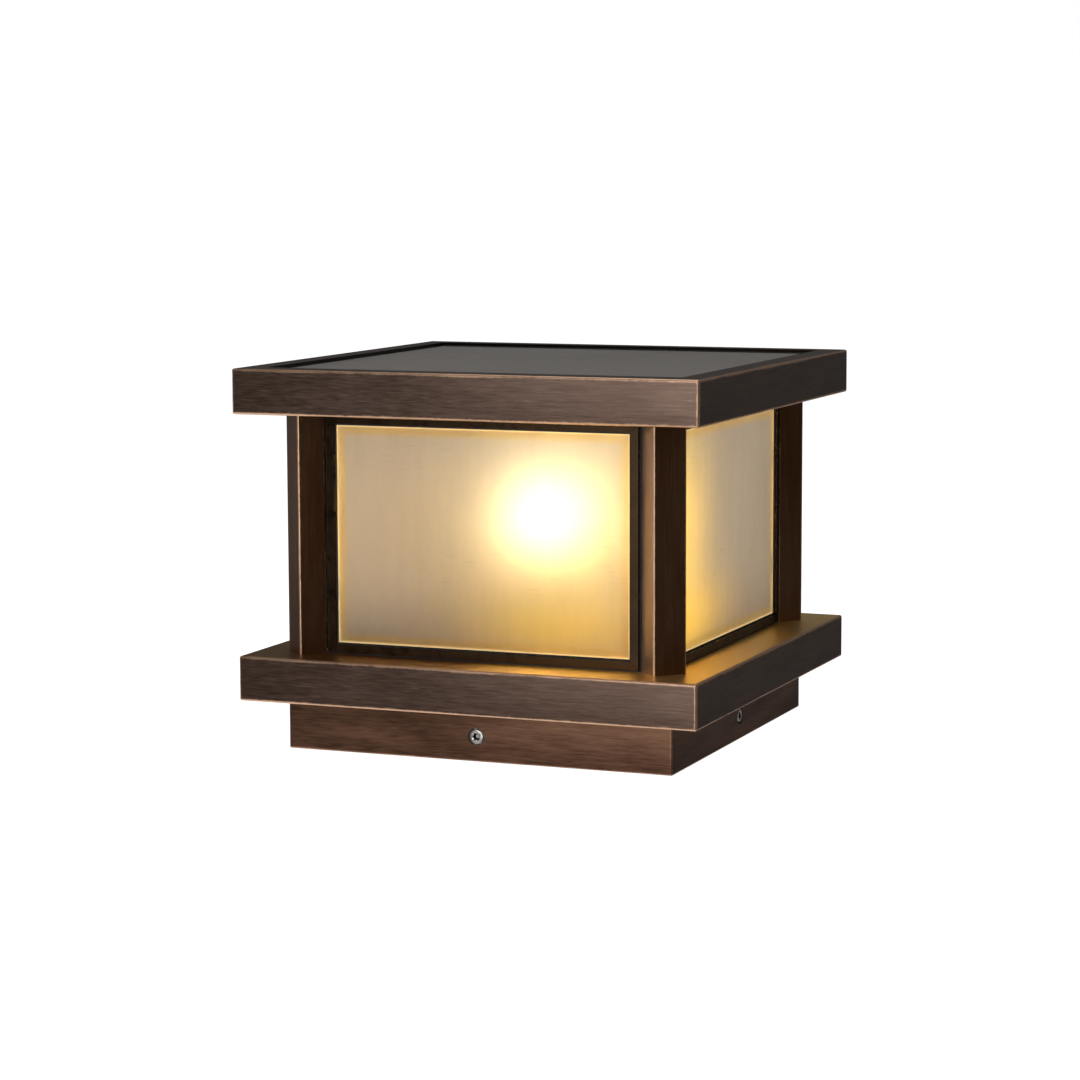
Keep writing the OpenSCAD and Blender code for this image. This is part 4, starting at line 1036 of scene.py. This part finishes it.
for angle in CORNERS.values():
    foot = about_z((0, -POST_OUT, DECK_UNDER), angle)
    head = about_z((0, -POST_OUT, ROOF_Z), angle)
    ends += [placed(post_screw, foot), placed(post_screw, head, (0, 0, -1))]
made("post_screws.sunk_screws", ends, "post_screws")

# %% [markdown]
# ### Rivets, grommets, pins and switch
# Blind rivets have a domed head below and a crushed, hollow end above. Grommets are rubber rings
# with two soft lips. The connector's pins have rounded tips, so that they find their sockets. The
# switch is a threaded bush with a domed button. In CAD they are plain cylinders, and a subdivided
# cylinder would round every step alike, so their real profiles go on the lathe as well.

# %% Rivets, grommets and pins
rivet = turned(plain(*eased([(0, -2.55), (1.2, -2.7), (2.6, -2.55), (3.75, -1.75), (3.7, -1.5),
                             (2.0, -1.5), (2.0, 1.5), (3.3, 1.52), (3.2, 2.3), (2.3, 2.7),
                             (1.3, 2.5), (1.0, 1.9), (0, 1.9)], 0.3)), 32)
RIVET_X, RIVET_Y, RIVET_Z = 60, -117.0, 32.0
spots = [about_z((x, RIVET_Y, RIVET_Z), angle) for angle in SIDES.values()
         for x in (-RIVET_X, RIVET_X)]
made("seam_rivets.domed", [placed(rivet, spot) for spot in spots], "seam_rivets", sharp=45)

LEAD_X = 107.0
lips = eased([(2.1, 57.7), (2.1, 60.8), (2.3, 61.0), (4.0, 61.0), (4.2, 60.7), (4.2, 60.0),
              (3.2, 60.0), (3.2, 58.5), (4.2, 58.5), (4.2, 57.8), (4.0, 57.5), (2.3, 57.5)], 0.35)
made("lead_grommets.ring", [placed(turned(plain(*lips), 36), spot)
                            for spot in ((0, 0, 0), (-LEAD_X, LEAD_X, 0))],
     "lead_grommets", ring=True, sharp=60)

pin = turned(plain(*eased([(0, 201.0), (0.75, 201.0), (0.75, 217.7), (0.45, 218.5), (0, 218.5)],
                          0.3)), 24)
made("contact_pins.turned", [placed(pin, (x - LEAD_X, LEAD_X, 0)) for x in (-2, 2)],
     "contact_pins")

# %% Switch
SWITCH = (60.0, 139.5, 0.0)
bush = np.vstack([
    plain(*eased([(0, 212.3), (4.06, 212.3), (4.06, 207.3), (4.3, 207.0), (6.4, 207.0),
                  (7.0, 207.5), (7.0, 208.5), (6.0, 208.5), (6.0, 208.9)], 0.2)),
    thread_rows(6.0, 209.0, 220.0, 1.0),
    plain((6.0, 220.2), (6.0, 222.2), (5.7, 222.5), (0, 222.5))])
made("switch_body.threaded", [placed(turned(bush, 60, pitch=1.0, depth=0.45), SWITCH)],
     "switch_body")
cap = eased([(0, 204.25), (1.9, 204.25), (2.5, 204.0), (3.5, 204.05), (4.0, 204.7), (4.0, 210.5),
             (0, 210.5)], 0.35)
made("switch_button.domed", [placed(turned(plain(*cap), 48), SWITCH)], "switch_button")

# %% [markdown]
# ### Bulb and lamp holder
# The bulb is a warm globe on a ribbed collar and an E27 cap, whose thread is rolled into thin
# plated brass: 3.6 mm for each turn, in soft waves. The holder's shell carries the same wave, a
# little wider, so the two fit together as they do in the real lamp. A section carried along a helix
# would leave open ends, and here the wave fades out at both ends of the thread by itself.

# %% Bulb's cap and collar
E27_PITCH = 3.6
cap_rows = np.vstack([
    plain(*eased([(0, 76.1), (3.4, 76.15), (4.0, 76.6), (4.4, 77.4), (9.6, 78.3), (10.2, 79.2),
                  (11.6, 80.0)], 0.3)),
    thread_rows(13.05, 80.5, 99.5, E27_PITCH, 12),
    plain(*eased([(12.6, 99.6), (12.6, 102.2), (13.0, 102.8), (13.0, 103.5), (0, 103.5)], 0.3))])
# The foot shows its black ground up to z = 80, but for the metal contact in its middle
contact = np.clip((4.2 - cap_rows[:, 0]) / 0.2, 0, 1)
made("bulb_cap.threaded", [turned(cap_rows, 72, pitch=E27_PITCH, depth=1.0, rolled=True) * MM],
     "bulb_cap", marks=np.where(cap_rows[:, 1] < 80, 1 - contact, 0))

collar = plain(*eased([(0, 103.5), (13.85, 103.5), (14.25, 107.5), (15.4, 112.0), (16.7, 116.0),
                       (17.12, 118.98), (15.7, 118.98), (15.7, 118.0), (0, 118.0)], 0.5))
ribs = (collar[:, 1] > 106.5) & (collar[:, 1] < 116.5) & (collar[:, 0] > 13)
collar[ribs, 3] = 1
made("bulb_collar.ribbed", [turned(collar, 96, knurl=0.35) * MM], "bulb_collar")

# %% Globe and holder shell
GLOBE_Z, GLOBE_R, GLOBE_WALL, GLOBE_CUT = 133.6, 22.5, 1.2, 14.6


def arc(radius, turns_down, steps=28):
    """Rows of a sphere from its top down to the height -GLOBE_CUT: (R sin a, z + R cos a)."""
    a = np.linspace(0, math.acos(-GLOBE_CUT / radius), steps)[:: -1 if turns_down else 1]
    return np.column_stack([radius * np.sin(a), GLOBE_Z + radius * np.cos(a)])


globe = np.vstack([arc(GLOBE_R - GLOBE_WALL, False), arc(GLOBE_R, True)])
made("bulb_globe.blown", [turned(plain(*globe), 64) * MM], "bulb_globe")

wall_out = thread_rows(14.45, 67.5, 99.0, E27_PITCH, 10)
wall_in = thread_rows(13.75, 67.5, 99.0, E27_PITCH, 10)[::-1]
shell = np.vstack([plain((9.45, 66.0), (14.0, 66.0), (14.45, 66.5)), wall_out,
                   plain((14.45, 100.8), (14.3, 101.0), (13.8, 101.0), (13.75, 100.8)), wall_in,
                   plain((13.75, 67.2), (9.45, 67.0))])
made("holder_shell.rolled", [turned(shell, 60, pitch=E27_PITCH, depth=0.42, rolled=True) * MM],
     "holder_shell", ring=True)

# %% [markdown]
# ### Battery cells
# Four 14500 cells lie side by side, every second one turned end for end. A cell is a steel can in
# a thin plastic wrap that leaves both ends bare, with a groove rolled in under the top. Wrap and
# can could be two skins. One turned skin that marks its bare rows is lighter, and shows the same.

# %% Battery cells
can = plain(*eased([(0, -25.0), (5.8, -25.0), (6.0, -24.85), (6.9, -24.85), (7.1, -24.5),
                    (7.1, 20.4), (6.7, 21.0), (6.7, 21.5), (7.1, 22.1), (7.1, 23.2), (6.8, 23.6),
                    (5.3, 23.6), (5.0, 23.3), (2.75, 23.3), (2.7, 24.8), (2.4, 25.0), (0, 25.0)],
                   0.25))
CELL_X, CELL_Z = -60.0, 220.6
cells = [placed(turned(can, 40), (CELL_X, y, CELL_Z), (1 - 2 * (k % 2), 0, 0))
         for k, y in enumerate((-64.0, -48.0, -32.0, -16.0))]
made("battery_cells.wrapped", cells, "battery_cells",
     marks=(can[:, 0] < 5.95).astype(float) * (np.abs(can[:, 1]) > 20))

# %% [markdown]
# ### Posts
# A post is a square tube with small rounded corners. The highlights that run up its ridges are the
# lantern's finest lines, so each corner gets eight steps, with a pair of points close beside it
# that keeps the flat faces flat. A bevelled copy would have too few steps there, and its flats
# would shade as if they were bent.


# %% Posts
def tube_outline(width, depth, radius, steps=8, keep=0.5):
    """Outline of a tube's section: four quarter circles, each between two points on the flats that
    lie keep further on."""
    a = np.linspace(0, np.pi / 2, steps + 1)
    quarter = np.column_stack([np.cos(a), np.sin(a)]) * radius
    quarter = np.vstack([[radius, -keep], quarter, [-keep, radius]])
    turns = np.array([[1, 1], [-1, 1], [-1, -1], [1, -1]])
    centre = turns * np.array([width / 2 - radius, depth / 2 - radius])
    cos, sin = np.array([1, 0, -1, 0]), np.array([0, 1, 0, -1])
    spin = np.stack([np.stack([cos, sin], -1), np.stack([-sin, cos], -1)], -2)
    return (quarter[None] @ spin + centre[:, None]).reshape(-1, 2)


def post_grid(angle):
    """The tube as a closed grid: up the outside, over the end, and down the inside. Each row is the
    section's outline at one height."""
    outside = tube_outline(POST_W, POST_D, 1.2)
    inside = tube_outline(POST_W - 2 * POST_WALL, POST_D - 2 * POST_WALL, 0.3)
    rows = [(outside, 60.0), (outside, 60.4), (outside, 206.6), (outside, 207.0),
            (inside, 207.0), (inside, 206.6), (inside, 60.4), (inside, 60.0)]
    grid = np.stack([np.column_stack([line, np.full(len(line), z)]) for line, z in rows])
    grid[..., 1] -= POST_OUT
    a = math.radians(angle)
    turn = np.array([[math.cos(a), math.sin(a), 0], [-math.sin(a), math.cos(a), 0], [0, 0, 1]])
    return grid @ turn * MM


for corner, angle in CORNERS.items():
    made("post_%s.tube" % corner, [post_grid(angle)], "post_" + corner, ring=True, sharp=40)

# %% [markdown]
# ### Leads
# The lamp's lead and the roof's wires are round and limp. In CAD they are runs of short straight
# rods. Here their routes are the same points with rounded corners, and a circle is carried along
# each. All bends lie in upright planes, so the circle's axes are the plane's normal and its cross
# product with the direction.


# %% Lead tubes
def tube_along(route, radius, normal, bend, steps=20):
    """A closed tube: circles of the radius about every point of the eased route, and a pole at
    both ends. A circle's point is p + R (cos a n + sin a (n x d)), d being the direction."""
    path = eased(route, bend, 7)
    path = path[np.concatenate([[True], np.linalg.norm(np.diff(path, axis=0), axis=1) > 0.02])]
    direction = np.gradient(path, axis=0)
    direction /= np.linalg.norm(direction, axis=1, keepdims=True)
    normal = np.array(normal, float) / np.linalg.norm(normal)
    across = np.cross(normal, direction)
    a = 2 * np.pi * np.arange(steps) / steps
    size = np.concatenate([[0, radius - 0.15], np.full(len(path) - 2, radius), [radius - 0.15, 0]])
    path = np.concatenate([path[:1], path[:1], path[1:-1], path[-1:], path[-1:]])
    across = np.concatenate([across[:1], across, across[-1:]])
    ring = np.cos(a)[None, :, None] * normal + np.sin(a)[None, :, None] * across[:, None]
    return (path[:, None] + size[:, None, None] * ring) * MM


LEAD_OUT, LEAD_TURN, LEAD_LOW = 151.33, 6.0, 51.0
out, height = np.array([(LEAD_OUT, 199.0), (LEAD_OUT, LEAD_LOW), (0.0, LEAD_LOW), (0.0, 67.0)]).T
lead_route = np.column_stack([-out / math.sqrt(2), out / math.sqrt(2), height])
made("lamp_lead.tube", [tube_along(lead_route, 2.0, (1, 1, 0), LEAD_TURN)], "lamp_lead", sharp=50)


ON_BOARD, OVER_RIM, ON_FLOOR, RIM_Y = 221.6, 219.0, 212.6, 5.0


def floor_wire(start, end, on_floor, end_z):
    """Route of a wire in an upright plane: heights against the run along Y, and X in proportion.
    It leaves the board, goes over the tray's rim at RIM_Y and runs along the roof's floor."""
    heights = np.array([(start[1], ON_BOARD), (start[1] + 6, ON_BOARD), (RIM_Y - 3, OVER_RIM),
                        (RIM_Y + 1.5, OVER_RIM), (RIM_Y + 5, 214.6), (RIM_Y + 9, ON_FLOOR)]
                       + on_floor + [(end[1], end_z)])
    share = (heights[:, 0] - start[1]) / (end[1] - start[1])
    return np.column_stack([start[0] + share * (end[0] - start[0]), heights])


# Each wire's route, and the normal of the upright plane it lies in: to the switch, to the socket
# block, to the panel, and from the cells to the board
WIRES = [
    (floor_wire((60.0, -15.8), (60.0, 133.3),
                [(60, ON_FLOOR), (115, ON_FLOOR), (126, 216.6)], 217.6), (1, 0, 0)),
    (floor_wire((20.0, -15.0), (-98.0, 104.0), [(50, ON_FLOOR), (80, ON_FLOOR)], 213.6),
     (119, 118, 0)),
    (np.array([(40, -15.8, ON_BOARD), (40, -7.8, ON_BOARD), (40, 0, 222.6), (40, 5, 224.6),
               (40, 6, 226.6), (40, 6, 229.7)]), (1, 0, 0)),
    (np.array([(-32.4, -40, 218.6), (-26.6, -40, 218.6), (3, -40, ON_BOARD),
               (10.8, -40, ON_BOARD)]), (0, 1, 0)),
]
made("roof_leads.tubes", [tube_along(route, 1.0, normal, 2.0, 14) for route, normal in WIRES],
     "roof_leads", sharp=50)

# %% [markdown]
# ## Floor, backdrop and light
# The lamp stands on a plain pale floor before a white surround. A picture of a studio could light
# it, but soft boxes can be moved one by one until the metal reads right. A large one in front gives
# the fascias their slow change from dark to light, two strips at the left draw the bright ridges of
# the posts, one above lights the roof, and the right stays dark, so the sheet reads as metal.


# %% Floor
FLOOR_HALF, FLOOR_DROP = 14.0, 0.2 * MM


def pale_floor():
    """A flat square, a grid of four corners, just below the lamp's foot. Its lower side lets the
    eye through, so that the lamp can be looked at from below."""
    corners = np.array([[-1, -1], [1, -1], [1, 1], [-1, 1]]) * FLOOR_HALF
    corners = np.column_stack([corners, np.full(4, -FLOOR_DROP)])
    mesh = bpy.data.meshes.new("floor")
    mesh.from_pydata(corners.tolist(), [], [(0, 1, 2, 3)])
    floor = link("floor", mesh)
    material, tree, body, place = start_material("pale_floor", **{
        "Emission Color": (1, 1, 1), "Emission Strength": 0.97, "Roughness": 0.9})
    cloud = use(tree, "Patina Clouds", {"Vector": place, "Scale": 3.0})["Cloud"]
    below = tree.nodes.new("ShaderNodeNewGeometry").outputs["Backfacing"]
    fill(tree, body.inputs, {"Base Color": blended(tree, cloud, (0.88,) * 3, (0.9,) * 3),
                             "Alpha": maths(tree, "SUBTRACT", 1.0, below)})
    mesh.materials.append(material)
    floor.visible_glossy = False
    return floor


print("floor:", [round(size, 2) for size in pale_floor().dimensions])


# %% Surround and lights
def surround():
    """White where the camera looks past the lamp. For reflections and bounce it is a dim grey
    above, and brighter straight below, where a white table would shine back."""
    world = bpy.data.worlds.new("surround")
    bpy.context.scene.world = world
    world.use_nodes = True
    tree = world.node_tree
    tree.nodes.clear()
    seen = put(tree, "ShaderNodeBackground", {0: (1, 1, 1), 1: 1.0})
    z = split(tree, tree.nodes.new("ShaderNodeTexCoord").outputs["Generated"])[2]
    lit = put(tree, "ShaderNodeBackground", {0: (1.0, 0.98, 0.96),
                                             1: between(tree, z, -0.35, -0.75, 0.10, 0.85)})
    ray = tree.nodes.new("ShaderNodeLightPath").outputs["Is Camera Ray"]
    mix = put(tree, "ShaderNodeMixShader", {0: ray, 1: lit.outputs[0], 2: seen.outputs[0]})
    tree.links.new(mix.outputs[0], tree.nodes.new("ShaderNodeOutputWorld").inputs[0])


def soft_light(name, place, target, width, height, power):
    """An area light at place, facing target, width by height in metres, power in watts."""
    data = bpy.data.lights.new(name, "AREA")
    data.shape = "RECTANGLE"
    data.size, data.size_y = width, height
    data.energy = power
    lamp = bpy.data.objects.new(name, data)
    bpy.context.scene.collection.objects.link(lamp)
    toward = Vector(target) - Vector(place)
    lamp.rotation_euler = toward.to_track_quat("-Z", "Y").to_euler()
    lamp.location = place


surround()
soft_light("front_box", (0.05, -1.15, 0.46), (0.05, 0, 0.13), 0.80, 1.40, 6.3)
soft_light("left_strip", (-1.25, 0.45, 0.35), (-0.15, -0.05, 0.15), 0.35, 0.9, 0.15)
soft_light("left_front", (-1.25, -0.22, 0.2), (0.1, -0.12, 0.13), 0.4, 0.9, 0.8)
soft_light("top_box", (0.0, 0.3, 1.6), (0, 0, 0.2), 1.2, 1.2, 5.0)
bpy.context.scene.view_settings.view_transform = "Standard"
